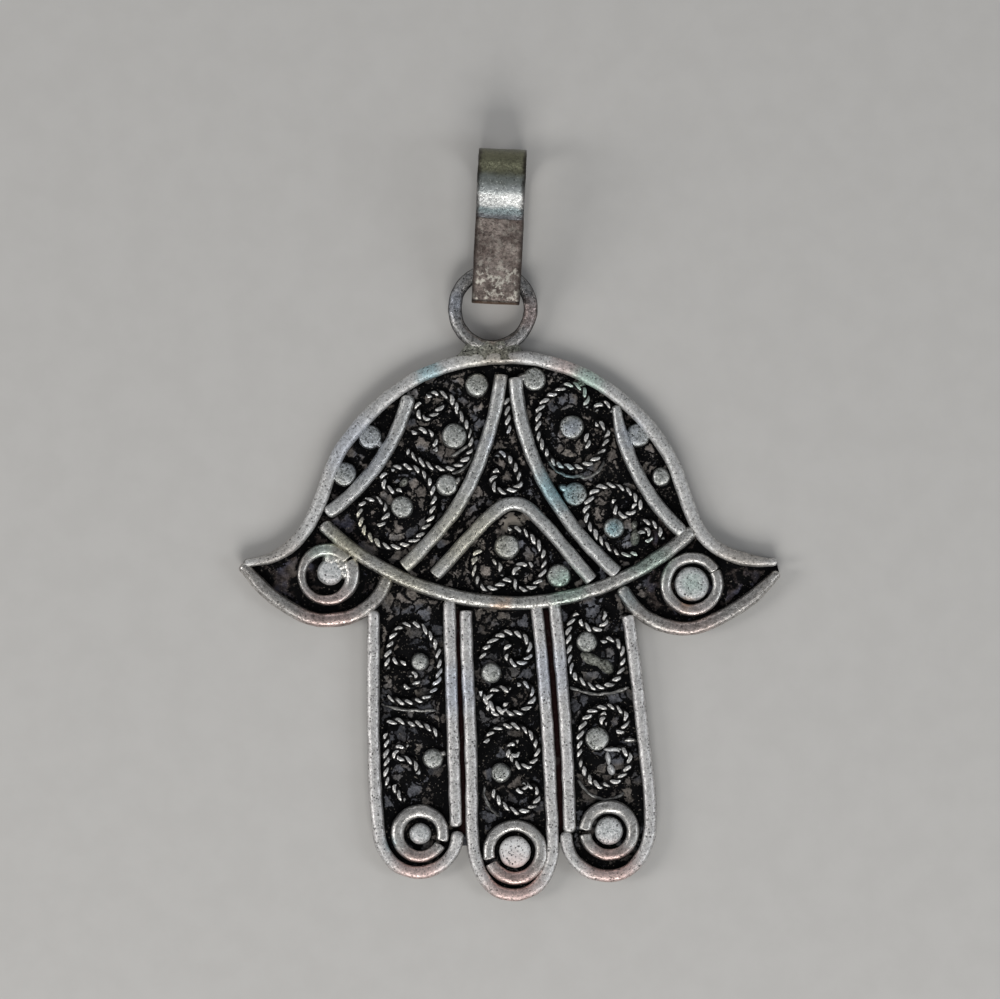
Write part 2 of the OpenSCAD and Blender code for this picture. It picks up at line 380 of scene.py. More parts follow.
class Graph:
    """Adds nodes and links to one shader tree."""

    def __init__(self, tree: bpy.types.NodeTree) -> None:
        """Keeps the tree.

        Args:
            tree: the node tree to fill.
        """
        self.tree = tree

    def add(self, kind: str, fed: Optional[Mapping[Union[str, int], Value]] = None,
            **settings: object) -> bpy.types.Node:
        """Adds a node.

        Args:
            kind: the node's type.
            fed: what each input is linked or set to, by name or number.
            settings: what is set on the node, by name.

        Returns:
            The node.
        """
        node = self.tree.nodes.new(kind)
        node.location = (180 * len(self.tree.nodes), 0)
        for key, value in settings.items():
            setattr(node, key, value)
        for key, value in (fed or {}).items():
            self.feed(node.inputs[key], value)
        return node

    def feed(self, socket: Socket, value: Value) -> None:
        """Links a socket to another, or sets its value.

        Args:
            socket: the input socket.
            value: what it is linked or set to.
        """
        if isinstance(value, bpy.types.NodeSocket):
            self.tree.links.new(value, socket)
        elif isinstance(value, tuple) and socket.type == "RGBA":
            socket.default_value = (*value[:3], 1.0)
        else:
            socket.default_value = value

    def math(self, operation: str, *values: Value) -> Socket:
        """Returns the result of a sum that the Math node has, on up to three values."""
        return self.add("ShaderNodeMath", dict(enumerate(values)), operation=operation).outputs[0]

    def plus(self, a: Value, b: Value) -> Socket:
        """Returns a and b added up."""
        return self.math("ADD", a, b)

    def minus(self, a: Value, b: Value) -> Socket:
        """Returns a less b."""
        return self.math("SUBTRACT", a, b)

    def times(self, a: Value, b: Value) -> Socket:
        """Returns a times b."""
        return self.math("MULTIPLY", a, b)

    def larger(self, a: Value, b: Value) -> Socket:
        """Returns the larger of a and b."""
        return self.math("MAXIMUM", a, b)

    def soft_step(self, value: Value, low: Value, high: Value,
                  start: Value = 0.0, end: Value = 1.0) -> Socket:
        """Returns a value that goes softly from start to end as another goes from low to high."""
        fed = {"Value": value, "From Min": low, "From Max": high, "To Min": start, "To Max": end}
        return self.add("ShaderNodeMapRange", fed, interpolation_type="SMOOTHSTEP").outputs["Result"]

    def mix(self, factor: Value, a: Value, b: Value, blend: Blend = Blend.COVER) -> Socket:
        """Returns colour a with b laid over it as far as the factor says."""
        settings = {"data_type": "RGBA", "blend_type": blend.value, "clamp_factor": True}
        return self.add("ShaderNodeMix", {0: factor, 6: a, 7: b}, **settings).outputs[2]

    def noise(self, vector: Value, scale: float, detail: float = 3.0, roughness: float = 0.55) -> Socket:
        """Returns cloudy noise from 0 to 1, whose scale is in grains to the millimetre."""
        fed = {"Vector": vector, "Scale": scale, "Detail": detail, "Roughness": roughness}
        return self.add("ShaderNodeTexNoise", fed).outputs["Fac"]

    def swing(self, vector: Value, scale: float, detail: float = 3.0, roughness: float = 0.55) -> Socket:
        """Returns cloudy noise that swings about zero."""
        return self.minus(self.noise(vector, scale, detail, roughness), 0.5)

    def cells(self, vector: Value, scale: float, feature: str = "F1") -> Sockets:
        """Returns what the Voronoi node puts out, whose scale is in cells to the millimetre."""
        return self.add("ShaderNodeTexVoronoi", {"Vector": vector, "Scale": scale}, feature=feature).outputs

    def stretched(self, vector: Value, scale: Row, turn: float = 0.0) -> Socket:
        """Returns coordinates scaled by three factors after a turn about Z in radians."""
        fed = {"Vector": vector, "Rotation": (0, 0, turn), "Scale": scale}
        return self.add("ShaderNodeMapping", fed).outputs["Vector"]

    def millimetres(self) -> Socket:
        """Returns the object's own coordinates in millimetres."""
        metres = {0: self.add("ShaderNodeTexCoord").outputs["Object"], "Scale": 1 / MM}
        return self.add("ShaderNodeVectorMath", metres, operation="SCALE").outputs["Vector"]

    def split(self, vector: Value) -> Sockets:
        """Returns the X, Y and Z sockets of a vector."""
        return self.add("ShaderNodeSeparateXYZ", {0: vector}).outputs

    def bump(self, height: Value, depth: float) -> Socket:
        """Returns the normal of a height, whose full swing is depth in millimetres."""
        return self.add("ShaderNodeBump", {"Height": height, "Distance": depth * MM}).outputs["Normal"]


class ShaderGroup:
    """A shader node group with named inputs and outputs, built once and placed in many materials."""

    name = "group"
    inputs: tuple[tuple[str, str], ...] = ()
    outputs: tuple[tuple[str, str], ...] = ()

    @classmethod
    def tree(cls) -> bpy.types.NodeTree:
        """Returns the group's tree, built at the first call.

        Returns:
            The tree.
        """
        found = bpy.data.node_groups.get(cls.name)
        if found:
            return found
        tree = bpy.data.node_groups.new(cls.name, "ShaderNodeTree")
        for in_out, sockets in (("INPUT", cls.inputs), ("OUTPUT", cls.outputs)):
            for name, kind in sockets:
                tree.interface.new_socket(name=name, in_out=in_out, socket_type=kind)
        graph = Graph(tree)
        graph.add("NodeGroupOutput", cls.fill(graph, graph.add("NodeGroupInput").outputs))
        return tree

    @classmethod
    def fill(cls, graph: Graph, given: Sockets) -> dict[str, Socket]:
        """Builds the group's nodes.

        Args:
            graph: where the nodes go.
            given: the input sockets.

        Returns:
            What each output is fed with.
        """
        raise NotImplementedError

    @classmethod
    def put(cls, graph: Graph, **values: Value) -> Sockets:
        """Places the group in a material, feeds its named inputs and returns its output sockets."""
        return graph.add("ShaderNodeGroup", values, node_tree=cls.tree()).outputs


class MetalGrain(ShaderGroup):
    """Cast and polished grain of old silver: blotches, fine speckle and round pits."""

    name = "metal_grain"
    inputs = (("Vector", "NodeSocketVector"), ("Pits", "NodeSocketFloat"))
    outputs = (("Shade", "NodeSocketFloat"), ("Pit", "NodeSocketFloat"), ("Height", "NodeSocketFloat"))

    @classmethod
    def fill(cls, graph: Graph, given: Sockets) -> dict[str, Socket]:
        """Builds the blotches, the speckle and the pits.

        Args:
            graph: where the nodes go.
            given: the input sockets.

        Returns:
            What each output is fed with.
        """
        vector = given["Vector"]
        blotch = graph.soft_step(graph.noise(vector, 1.3, 3), 0.32, 0.68)
        speckle = graph.soft_step(graph.noise(vector, 5.0, 4, 0.7), 0.36, 0.64)
        spark = graph.soft_step(graph.noise(vector, 7.5, 2, 0.6), 0.58, 0.68)
        round_pit = graph.soft_step(graph.cells(vector, 3.4)["Distance"], 0.14, 0.32, 1, 0)
        sparse = graph.soft_step(graph.noise(vector, 1.7, 2), 0.46, 0.58)
        turned = graph.stretched(vector, (1, 1, 1), 1.1)
        pinhole = graph.soft_step(graph.noise(turned, 6.5, 2, 0.6), 0.60, 0.68)
        pit = graph.times(graph.larger(graph.times(round_pit, sparse), pinhole), given["Pits"])
        shade = graph.plus(graph.times(blotch, 0.25), graph.times(speckle, 0.5))
        shade = graph.plus(shade, graph.times(spark, 0.5))
        height = graph.minus(graph.times(speckle, 0.6), pit)
        return {"Shade": shade, "Pit": pit, "Height": height}


class RecessBlack(ShaderGroup):
    """Where black patina stays: low beside the sheet and on steep flanks, with a ragged edge."""

    name = "recess_black"
    inputs = (
        ("Vector", "NodeSocketVector"),
        ("Low", "NodeSocketFloat"),
        ("High", "NodeSocketFloat"),
        ("Reach", "NodeSocketFloat"),
        ("Ragged", "NodeSocketFloat"),
    )
    outputs = (("Mask", "NodeSocketFloat"),)

    @classmethod
    def fill(cls, graph: Graph, given: Sockets) -> dict[str, Socket]:
        """Builds the mask from the height and the slope.

        Args:
            graph: where the nodes go.
            given: the input sockets.

        Returns:
            What each output is fed with.
        """
        both = graph.plus(graph.swing(given["Vector"], 4, 2), graph.swing(given["Vector"], 1.4, 2))
        ragged = graph.times(both, given["Ragged"])
        height = graph.plus(graph.split(given["Vector"])["Z"], ragged)
        low = graph.soft_step(height, given["Low"], given["High"], 1, 0)
        normal_z = graph.split(graph.add("ShaderNodeTexCoord").outputs["Normal"])["Z"]
        steep = graph.minus(given["Reach"], 0.3)
        flank = graph.soft_step(graph.plus(normal_z, ragged), steep, given["Reach"], 0.9, 0)
        return {"Mask": graph.larger(low, flank)}


@dataclass(frozen=True)
class TintSpot:
    """One tint spot: its place on the hand, its reach in millimetres, strength, colour and way of mixing.
    Most are tarnish films; some paint a warm reflection.
    """

    x: float
    y: float
    reach: float
    strength: float
    colour: Colour
    blend: Blend = Blend.TINT


TEAL: Colour = (0.42, 0.66, 0.72)
SEA_GREEN: Colour = (0.30, 0.58, 0.45)
STEEL_BLUE: Colour = (0.42, 0.50, 0.66)
ROSE: Colour = (0.72, 0.45, 0.40)
EMBER: Colour = (0.85, 0.45, 0.20)
OLIVE: Colour = (0.58, 0.54, 0.38)
GRIME: Colour = (0.56, 0.50, 0.44)

TARNISH_AND_REFLECTION_TINTS = (
    TintSpot(-5.8, 16.4, 1.5, 0.7, TEAL),
    TintSpot(5.4, 15.6, 2.0, 0.4, SEA_GREEN),
    TintSpot(3.4, 8.2, 2.5, 0.8, TEAL),
    TintSpot(7.4, 5.3, 0.9, 0.8, TEAL),
    TintSpot(-0.6, 11.3, 1.6, 0.35, STEEL_BLUE),
    TintSpot(4.4, 12.5, 1.0, 0.4, STEEL_BLUE),
    TintSpot(8.6, 12.0, 1.6, 0.3, STEEL_BLUE),
    TintSpot(9.9, 3.0, 2.4, 0.35, SEA_GREEN),
    TintSpot(8.3, 0.3, 1.4, 0.3, TEAL),
    TintSpot(4.0, 1.0, 2.0, 0.4, SEA_GREEN),
    TintSpot(-3.0, 4.6, 4.0, 0.45, OLIVE),
    TintSpot(-11.2, 4.6, 2.6, 0.6, OLIVE),
    TintSpot(-7.4, 2.0, 3.0, 0.35, OLIVE),
    TintSpot(-2.0, 17.3, 2.6, 0.2, OLIVE),
    TintSpot(-11.0, 11.0, 3.4, 0.3, STEEL_BLUE),
    TintSpot(2.4, -5.0, 3.0, 0.3, STEEL_BLUE),
    TintSpot(-4.1, -6.3, 2.6, 0.35, STEEL_BLUE),
    TintSpot(-8.6, -17.3, 0.8, 0.35, TEAL),
    TintSpot(13.0, 1.3, 1.2, 0.25, SEA_GREEN),
    TintSpot(-13.6, 4.0, 1.5, 0.25, SEA_GREEN),
    # Painted reflection: these rose tints on the lower parts of the eye rings at the finger tips and thumbs
    # paint a warm reflection of the light.
    TintSpot(-6.6, -19.2, 2.6, 0.55, ROSE),
    TintSpot(0.2, -20.2, 3.0, 0.6, ROSE),
    TintSpot(7.2, -19.0, 2.8, 0.6, ROSE),
    TintSpot(-13.0, -1.0, 3.2, 0.5, ROSE),
    TintSpot(13.0, -1.9, 3.0, 0.3, ROSE),
    # Painted reflection: this ember tint paints a warm glow on the lower left of the right thumb's eye ring.
    TintSpot(12.6, -0.2, 0.8, 0.4, EMBER),
    TintSpot(-0.6, -0.35, 1.3, 0.45, EMBER),
    TintSpot(-1.3, 19.1, 1.0, 0.45, ROSE),
    TintSpot(-4.0, 21.3, 1.6, 0.4, STEEL_BLUE),
    TintSpot(1.5, 20.6, 1.8, 0.4, ROSE),
    TintSpot(3.9, 16.9, 1.6, 0.35, ROSE),
    TintSpot(-0.8, 17.1, 2.2, 0.6, GRIME, Blend.DARKEN),
    TintSpot(-16.6, 3.3, 3.0, 0.5, GRIME, Blend.DARKEN),
    TintSpot(16.6, 3.5, 3.0, 0.6, GRIME, Blend.DARKEN),
)


class TarnishAndReflectionTints(ShaderGroup):
    """Thin coloured films of tarnish, and painted warm reflection tints, at their own places over a colour
    that is given.
    """

    name = "tarnish_and_reflection_tints"
    inputs = (("Vector", "NodeSocketVector"), ("Color", "NodeSocketColor"))
    outputs = (("Color", "NodeSocketColor"),)

    @classmethod
    def fill(cls, graph: Graph, given: Sockets) -> dict[str, Socket]:
        """Builds one soft round film for each stain.

        Args:
            graph: where the nodes go.
            given: the input sockets.

        Returns:
            What each output is fed with.
        """
        wire_tops = 1.0
        swell = 0.5
        colour = given["Color"]
        ragged = graph.times(graph.noise(given["Vector"], 1.6, 3), 1.1)
        for tint_spot in TARNISH_AND_REFLECTION_TINTS:
            place = (tint_spot.x, tint_spot.y + SHIFT.y, wire_tops)
            away = graph.add("ShaderNodeVectorMath", {0: given["Vector"], 1: place}, operation="DISTANCE")
            reach = graph.plus(away.outputs["Value"], ragged)
            full, none = swell + 0.3 * tint_spot.reach, swell + tint_spot.reach
            mask = graph.soft_step(reach, full, none, tint_spot.strength, 0)
            colour = graph.mix(mask, colour, tint_spot.colour, tint_spot.blend)
        return {"Color": colour}


class Scratches(ShaderGroup):
    """Fine scratches that run mostly along Y, and nicks across them."""

    name = "fine_scratches"
    inputs = (("Vector", "NodeSocketVector"),)
    outputs = (("Scratch", "NodeSocketFloat"), ("Nick", "NodeSocketFloat"))

    @classmethod
    def fill(cls, graph: Graph, given: Sockets) -> dict[str, Socket]:
        """Builds long thin noise in two turned directions and short blots.

        Args:
            graph: where the nodes go.
            given: the input sockets.

        Returns:
            What each output is fed with.
        """
        lines = []
        for turn, spread in ((0.12, 9.0), (-0.5, 7.0)):
            drawn = graph.stretched(given["Vector"], (spread, 0.55, 1.5), turn)
            lines.append(graph.soft_step(graph.noise(drawn, 1, 2), 0.60, 0.72))
        nick = graph.soft_step(graph.noise(given["Vector"], 2.4, 4, 0.7), 0.56, 0.66)
        return {"Scratch": graph.larger(lines[0], lines[1]), "Nick": nick}


class Finish:
    """A finish that makes one material at its first use."""

    name: str

    def material(self) -> bpy.types.Material:
        """Returns the finish's material.

        Returns:
            The material.
        """
        found = bpy.data.materials.get(self.name)
        if found:
            return found
        made = bpy.data.materials.new(self.name)
        made.use_nodes = True
        made.node_tree.nodes.clear()
        graph = Graph(made.node_tree)
        shader = graph.add("ShaderNodeBsdfPrincipled", self.dress(graph))
        graph.add("ShaderNodeOutputMaterial", {"Surface": shader.outputs["BSDF"]})
        return made

    def dress(self, graph: Graph) -> dict[str, Value]:
        """Builds the finish's nodes.

        Args:
            graph: where the nodes go.

        Returns:
            What the shader is fed with.
        """
        raise NotImplementedError


@dataclass(frozen=True)
class WornSilver(Finish):
    """Silver that is rubbed grey on top and has kept its black patina in the recesses.

    Black is full below one height and gone above another, in millimetres over the hand's back, and
    reaches up flanks whose normal rises less than a share. Pits are a strength, and depth the grain's
    height in millimetres.
    """

    name: str
    dull: Colour
    bright: Colour
    black_low: float
    black_high: float
    flank: float = 0.28
    roughness: float = 0.27
    pits: float = 0.8
    depth: float = 0.012
    ragged: float = 0.14
    metallic: float = 0.92
    black: Colour = (0.008, 0.0075, 0.0075)

    def dress(self, graph: Graph) -> dict[str, Value]:
        """Builds colour, gloss and grain.

        Args:
            graph: where the nodes go.

        Returns:
            What the shader is fed with.
        """
        vector = graph.millimetres()
        grain = MetalGrain.put(graph, Vector=vector, Pits=self.pits)
        black = RecessBlack.put(graph, Vector=vector, Low=self.black_low, High=self.black_high,
                                Reach=self.flank, Ragged=self.ragged)
        metal = graph.mix(grain["Shade"], self.dull, self.bright)
        metal = TarnishAndReflectionTints.put(graph, Vector=vector, Color=metal)["Color"]
        metal = graph.mix(graph.times(grain["Pit"], 0.75), metal, self.black)
        rough = graph.math("MULTIPLY_ADD", grain["Shade"], -0.12, self.roughness + 0.1)
        return {
            "Base Color": graph.mix(black["Mask"], metal, self.black),
            "Roughness": graph.larger(rough, graph.times(black["Mask"], 0.6)),
            "Metallic": graph.soft_step(black["Mask"], 0.2, 0.9, self.metallic, 0.25),
            "Specular IOR Level": 0.25,
            "Normal": graph.bump(grain["Height"], self.depth),
        }


@dataclass(frozen=True)
class FlakyBlack(Finish):
    """The sheet's face: deep black beside whatever is soldered on, and worn grey flakes in the open.

    Places are in the frame's millimetres: thumbs start that far from its middle across, and fingers end
    and the palm starts at those places along.
    """

    name: str = "blackened_sheet_face"
    black: Colour = (0.002, 0.002, 0.0025)
    brown: Colour = (0.150, 0.134, 0.122)
    slate: Colour = (0.115, 0.118, 0.132)
    dusk: Colour = (0.058, 0.058, 0.080)
    umber: Colour = (0.045, 0.036, 0.033)
    pale: Colour = (0.34, 0.305, 0.26)
    rust: Colour = (0.022, 0.006, 0.006)
    thumbs_from: float = 9.2
    fingers_to: float = -7.2
    palm_from: float = -5.0
    depth: float = 0.06
    plates_per_mm: float = 1.1

    def dress(self, graph: Graph) -> dict[str, Value]:
        """Builds the flakes from the room that each spot has to the next wire or bead.

        Args:
            graph: where the nodes go.

        Returns:
            What the shader is fed with.
        """
        vector = graph.millimetres()
        room, gap, bare = (
            graph.add("ShaderNodeAttribute", attribute_name=layer.value).outputs["Fac"] for layer in SheetMap
        )
        fine = graph.swing(vector, 5.0, 4, 0.65)
        plate, own = self._plates(graph, vector, fine)
        thumbs = self._thumbs(graph, vector, fine)
        near = graph.plus(room, graph.times(graph.minus(own["X"], 0.5), 0.7))
        near = graph.plus(near, graph.times(fine, 0.7))
        near = graph.plus(near, graph.times(bare, 0.6))
        plate = graph.mix(thumbs, plate, graph.soft_step(graph.noise(vector, 0.8, 4, 0.6), 0.44, 0.54))
        flake = graph.times(plate, graph.soft_step(near, 0.20, 0.27))
        flake = graph.larger(flake, graph.soft_step(graph.plus(bare, fine), 0.62, 0.74))
        worn = self._worn(graph, vector, own, thumbs)
        worn = graph.mix(graph.times(bare, 0.8), worn, self.pale)
        ground = graph.mix(flake, self.black, worn)
        speck = graph.soft_step(graph.noise(vector, 6.5, 2, 0.6), 0.645, 0.71, 0, 0.65)
        ground = graph.mix(speck, ground, self.pale)
        return {
            "Base Color": graph.mix(gap, ground, self.rust),
            "Roughness": graph.soft_step(flake, 0, 1, 0.6, 0.5),
            "Metallic": graph.soft_step(flake, 0, 1, 0.1, 0.4),
            "Specular IOR Level": 0.08,
            "Normal": graph.bump(graph.plus(flake, graph.times(fine, 0.9)), self.depth),
        }

    def _thumbs(self, graph: Graph, vector: Value, fine: Value) -> Socket:
        """Returns where a spot lies on a thumb, with a ragged edge.

        Args:
            graph: where the nodes go.
            vector: the place in millimetres.
            fine: fine noise about zero.

        Returns:
            The thumbs' share.
        """
        place = graph.split(vector)
        aside = graph.plus(graph.math("ABSOLUTE", place["X"]), graph.times(fine, 1.2))
        aside = graph.soft_step(aside, self.thumbs_from, self.thumbs_from + 0.9)
        return graph.times(aside, graph.soft_step(place["Y"], 0.0, 1.2, 1, 0))

    def _worn(self, graph: Graph, vector: Value, own: Sockets, thumbs: Value) -> Socket:
        """Returns the flakes' colour: brown or slate, bluer and darker on the fingers, dark on the thumbs.

        Args:
            graph: where the nodes go.
            vector: the place in millimetres.
            own: each plate's own X, Y and Z.
            thumbs: the thumbs' share.

        Returns:
            The colour.
        """
        along = graph.split(vector)["Y"]
        bluer = graph.soft_step(along, self.fingers_to, self.palm_from, 0.08, 0)
        tone = graph.soft_step(graph.plus(graph.noise(vector, 0.4, 2), bluer), 0.50, 0.62)
        worn = graph.mix(tone, self.brown, self.slate)
        worn = graph.mix(graph.soft_step(own["Z"], 0.80, 0.95, 0, 0.25), worn, self.pale)
        worn = graph.mix(thumbs, worn, graph.mix(tone, self.umber, self.dusk))
        grain = graph.soft_step(graph.noise(vector, 4.4, 4, 0.75), 0.36, 0.66, 0.45, 1.45)
        shade = graph.times(grain, graph.soft_step(own["Y"], 0, 1, 0.7, 1.35))
        shade = graph.times(shade, graph.soft_step(along, self.fingers_to, self.palm_from, 0.85, 1.5))
        return graph.mix(1.0, worn, shade, Blend.DARKEN)

    def _plates(self, graph: Graph, vector: Value, fine: Value) -> tuple[Socket, Sockets]:
        """Returns where plates of worn patina stand between cracks, and three values of each plate's own.

        Args:
            graph: where the nodes go.
            vector: the place in millimetres.
            fine: fine noise about zero.

        Returns:
            The plates' share, and each plate's own X, Y and Z.
        """
        wobble = graph.add("ShaderNodeTexNoise", {"Vector": vector, "Scale": 1.8}).outputs["Color"]
        moved = {0: wobble, 1: (0.9, 0.9, 0.0), 2: vector}
        warped = graph.add("ShaderNodeVectorMath", moved, operation="MULTIPLY_ADD").outputs["Vector"]
        flat = graph.stretched(warped, (1, 1, 0))
        own = graph.split(graph.cells(flat, self.plates_per_mm)["Color"])
        edge = graph.cells(flat, self.plates_per_mm, "DISTANCE_TO_EDGE")["Distance"]
        inside = graph.plus(edge, graph.times(fine, 0.4))
        crack = graph.soft_step(inside, 0.05, 0.13)
        return graph.times(crack, graph.soft_step(own["Z"], 0.16, 0.18)), own


@dataclass(frozen=True)
class ScratchedSilver(Finish):
    """Plain sheet silver with tarnish, scratches and nicks."""

    name: str
    dull: Colour
    bright: Colour
    nicked: Colour = (0.62, 0.60, 0.56)
    scratched: Colour = (0.55, 0.53, 0.50)
    pitted: Colour = (0.03, 0.027, 0.024)
    roughness: float = 0.42
    depth: float = 0.012

    def dress(self, graph: Graph) -> dict[str, Value]:
        """Builds tarnish, scratches and nicks.

        Args:
            graph: where the nodes go.

        Returns:
            What the shader is fed with.
        """
        vector = graph.millimetres()
        grain = MetalGrain.put(graph, Vector=vector, Pits=0.6)
        marks = Scratches.put(graph, Vector=vector)
        metal = graph.mix(grain["Shade"], self.dull, self.bright)
        metal = graph.mix(graph.times(marks["Nick"], 0.45), metal, self.nicked)
        metal = graph.mix(graph.times(marks["Scratch"], 0.30), metal, self.scratched)
        metal = graph.mix(graph.times(grain["Pit"], 0.7), metal, self.pitted)
        height = graph.minus(grain["Height"], graph.times(marks["Scratch"], 0.4))
        return {
            "Base Color": metal,
            "Roughness": self.roughness,
            "Metallic": 0.9,
            "Normal": graph.bump(height, self.depth),
        }


@dataclass(frozen=True)
class StripSilver(Finish):
    """The bail's strip: brown tarnish that flakes low down, painted shade on its long edges, a painted copper
    highlight at its cut end, and a glossier loop that carries a painted highlight and painted reflections in
    bands.

    Places along the strip are measured from the middle of the hanging ring, in millimetres.
    """

    name: str
    middle: Row
    lean: float
    half_w: float
    line_at: float = 6.15
    depth: float = 0.010
    brown: Colour = (0.080, 0.062, 0.055)
    buff: Colour = (0.178, 0.150, 0.136)
    flaked: Colour = (0.46, 0.44, 0.39)
    # Soot darkens the pits, and also serves as painted shade on the strip's long edges.
    soot_and_edge_shade: Colour = (0.030, 0.023, 0.020)
    # Painted copper-pink highlight at the cut end.
    painted_copper_highlight: Colour = (0.34, 0.19, 0.11)
    # Painted light along the loop: a dark line of painted shade where it leaves the leg, then painted
    # reflections, a painted highlight, and painted dark reflections up to the olive top.
    painted_light_bands: tuple[tuple[float, float, Colour], ...] = (
        (0.0, 0.15, (0.15, 0.155, 0.165)),
        (0.2, 0.6, (0.27, 0.325, 0.335)),
        (0.7, 1.1, (0.86, 0.87, 0.85)),
        (1.6, 2.0, (0.64, 0.68, 0.67)),
        (2.1, 2.7, (0.38, 0.41, 0.38)),
        (2.8, 3.5, (0.205, 0.205, 0.135)),
    )

    def dress(self, graph: Graph) -> dict[str, Value]:
        """Builds the leg's tarnish, the loop's painted highlight and painted reflections in bands over it,
        the painted copper highlight at the cut end, and the painted shade on the edges over all.

        Args:
            graph: where the nodes go.

        Returns:
            What the shader is fed with.
        """
        vector = graph.millimetres()
        turn = (0, 0, -math.radians(self.lean))
        strip = {"Vector": vector, "Location": (*self.middle, 0), "Rotation": turn}
        place = graph.split(graph.add("ShaderNodeMapping", strip, vector_type="TEXTURE").outputs["Vector"])
        grain = MetalGrain.put(graph, Vector=vector, Pits=0.8)
        # Painted highlight and reflections: where the loop's bands start, on a wavy line; the same share also
        # makes the loop glossier.
        wavy = graph.times(graph.swing(vector, 0.9, 4), 0.6)
        past = graph.minus(graph.plus(place["Y"], wavy), self.line_at)
        upper = graph.soft_step(place["Z"], 2.3, 2.5)
        loop = graph.times(graph.soft_step(past, -0.05, 0.1), upper)
        metal = graph.mix(loop, self._leg(graph, vector, place["Y"]), self._painted_loop_light(graph, vector, past))
        metal = graph.mix(graph.times(grain["Pit"], 0.6), metal, self.soot_and_edge_shade)
        # Painted highlight: a copper-pink edge highlight on the cut end, nearest the ring's middle.
        metal = graph.mix(graph.soft_step(place["Y"], 0.34, 0.5, 0.6, 0), metal, self.painted_copper_highlight)
        # Painted shade: darkens both long edges of the strip towards soot.
        ragged = graph.times(graph.noise(vector, 1.8, 3), 0.5)
        across = graph.plus(graph.math("ABSOLUTE", place["X"]), ragged)
        edge = graph.soft_step(across, self.half_w - 0.14, self.half_w + 0.2, 0, 0.85)
        return {
            "Base Color": graph.mix(edge, metal, self.soot_and_edge_shade),
            "Roughness": graph.soft_step(loop, 0, 1, 0.46, 0.29),
            "Metallic": 0.85,
            "Normal": graph.bump(grain["Height"], self.depth),
        }

    def _leg(self, graph: Graph, vector: Value, along: Value) -> Socket:
        """Returns the leg's colour: brown, with pale flakes mostly near its cut end.

        Args:
            graph: where the nodes go.
            vector: the place in millimetres.
            along: the place along the strip.

        Returns:
            The colour.
        """
        cloud = graph.soft_step(graph.noise(vector, 1.0, 3), 0.36, 0.64)
        fine = graph.soft_step(graph.noise(vector, 4.6, 3, 0.6), 0.34, 0.66, 0.7, 1.3)
        tarnish = graph.mix(1.0, graph.mix(cloud, self.brown, self.buff), fine, Blend.DARKEN)
        flake = graph.soft_step(graph.noise(vector, 2.1, 4, 0.62), 0.50, 0.62)
        flake = graph.times(flake, graph.soft_step(along, 1.9, 3.8, 0.85, 0.18))
        scratch = Scratches.put(graph, Vector=vector)["Scratch"]
        tarnish = graph.mix(flake, tarnish, self.flaked)
        return graph.mix(graph.times(scratch, 0.16), tarnish, self.flaked)

    def _painted_loop_light(self, graph: Graph, vector: Value, past: Value) -> Socket:
        """Returns the loop's colour: band after band of painted shade, painted reflection and a painted
        highlight, above the line where the bands start.

        Args:
            graph: where the nodes go.
            vector: the place in millimetres.
            past: how far past the line it is.

        Returns:
            The colour.
        """
        shade = graph.soft_step(graph.noise(vector, 4.5, 4, 0.65), 0.3, 0.7, 0.74, 1.12)
        over = self.soot_and_edge_shade
        for start, end, colour in self.painted_light_bands:
            over = graph.mix(graph.soft_step(past, start, end), over, colour)
        return graph.mix(1.0, over, shade, Blend.DARKEN)


@dataclass(frozen=True)
class PaleFloor(Finish):
    """Plain pale surface under the pendant."""

    name: str = "pale_floor"
    light: Colour = (0.60, 0.587, 0.565)
    shaded: Colour = (0.58, 0.567, 0.545)

    def dress(self, graph: Graph) -> dict[str, Value]:
        """Builds a very faint mottle.

        Args:
            graph: where the nodes go.

        Returns:
            What the shader is fed with.
        """
        mottle = graph.soft_step(graph.noise(graph.millimetres(), 0.4, 4), 0.3, 0.7)
        return {"Base Color": graph.mix(mottle, self.shaded, self.light), "Roughness": 0.8}


RIM_SILVER = WornSilver("rim_silver", (0.22, 0.205, 0.19), (0.94, 0.91, 0.87), 0.50, 0.76, 0.24)
DOME_SILVER = WornSilver("dome_rim_silver", (0.44, 0.435, 0.425), (1.0, 0.995, 0.98), 0.50, 0.76, 0.20,
                         pits=1.0, depth=0.016, roughness=0.38, metallic=0.7)
WIRE_SILVER = WornSilver("wire_silver", (0.22, 0.215, 0.20), (1.0, 0.99, 0.95), 0.60, 0.84,
                         pits=1.0, depth=0.016)
DIVIDER_SILVER = WornSilver("divider_silver", (0.36, 0.365, 0.36), (1.0, 1.0, 0.98), 0.60, 0.84, 0.22,
                            pits=1.0, depth=0.016, metallic=0.84)
# Painted light: a lighter copy of the wire silver, whose lighter dull colour paints the extra light that the
# finger wires catch.
PAINTED_LIGHTER_FINGER_SILVER = WornSilver("finger_silver_painted_lighter", (0.45, 0.44, 0.435), (1.0, 0.985, 0.965), 0.58, 0.82,
                           pits=1.1, depth=0.016, roughness=0.38)
GRANULE_SILVER = WornSilver("granule_silver", (0.16, 0.17, 0.155), (0.93, 0.94, 0.91), 0.54, 0.70, 0.24,
                            pits=1.2, depth=0.024, roughness=0.32)
EYE_SILVER = WornSilver("eye_silver", (0.30, 0.29, 0.275), (1.0, 0.98, 0.95), 0.62, 0.86)
BEAD_SILVER = WornSilver("bead_silver", (0.34, 0.365, 0.365), (1.0, 1.0, 1.0), 0.54, 0.70, 0.08,
                         pits=1.2, depth=0.024, roughness=0.40, metallic=0.5)
BRIGHT_BEAD_SILVER = WornSilver("bright_bead_silver", (0.68, 0.67, 0.665), (1.0, 1.0, 1.0), 0.54, 0.70, 0.08,
                                pits=1.3, depth=0.03, roughness=0.42, metallic=0.2)
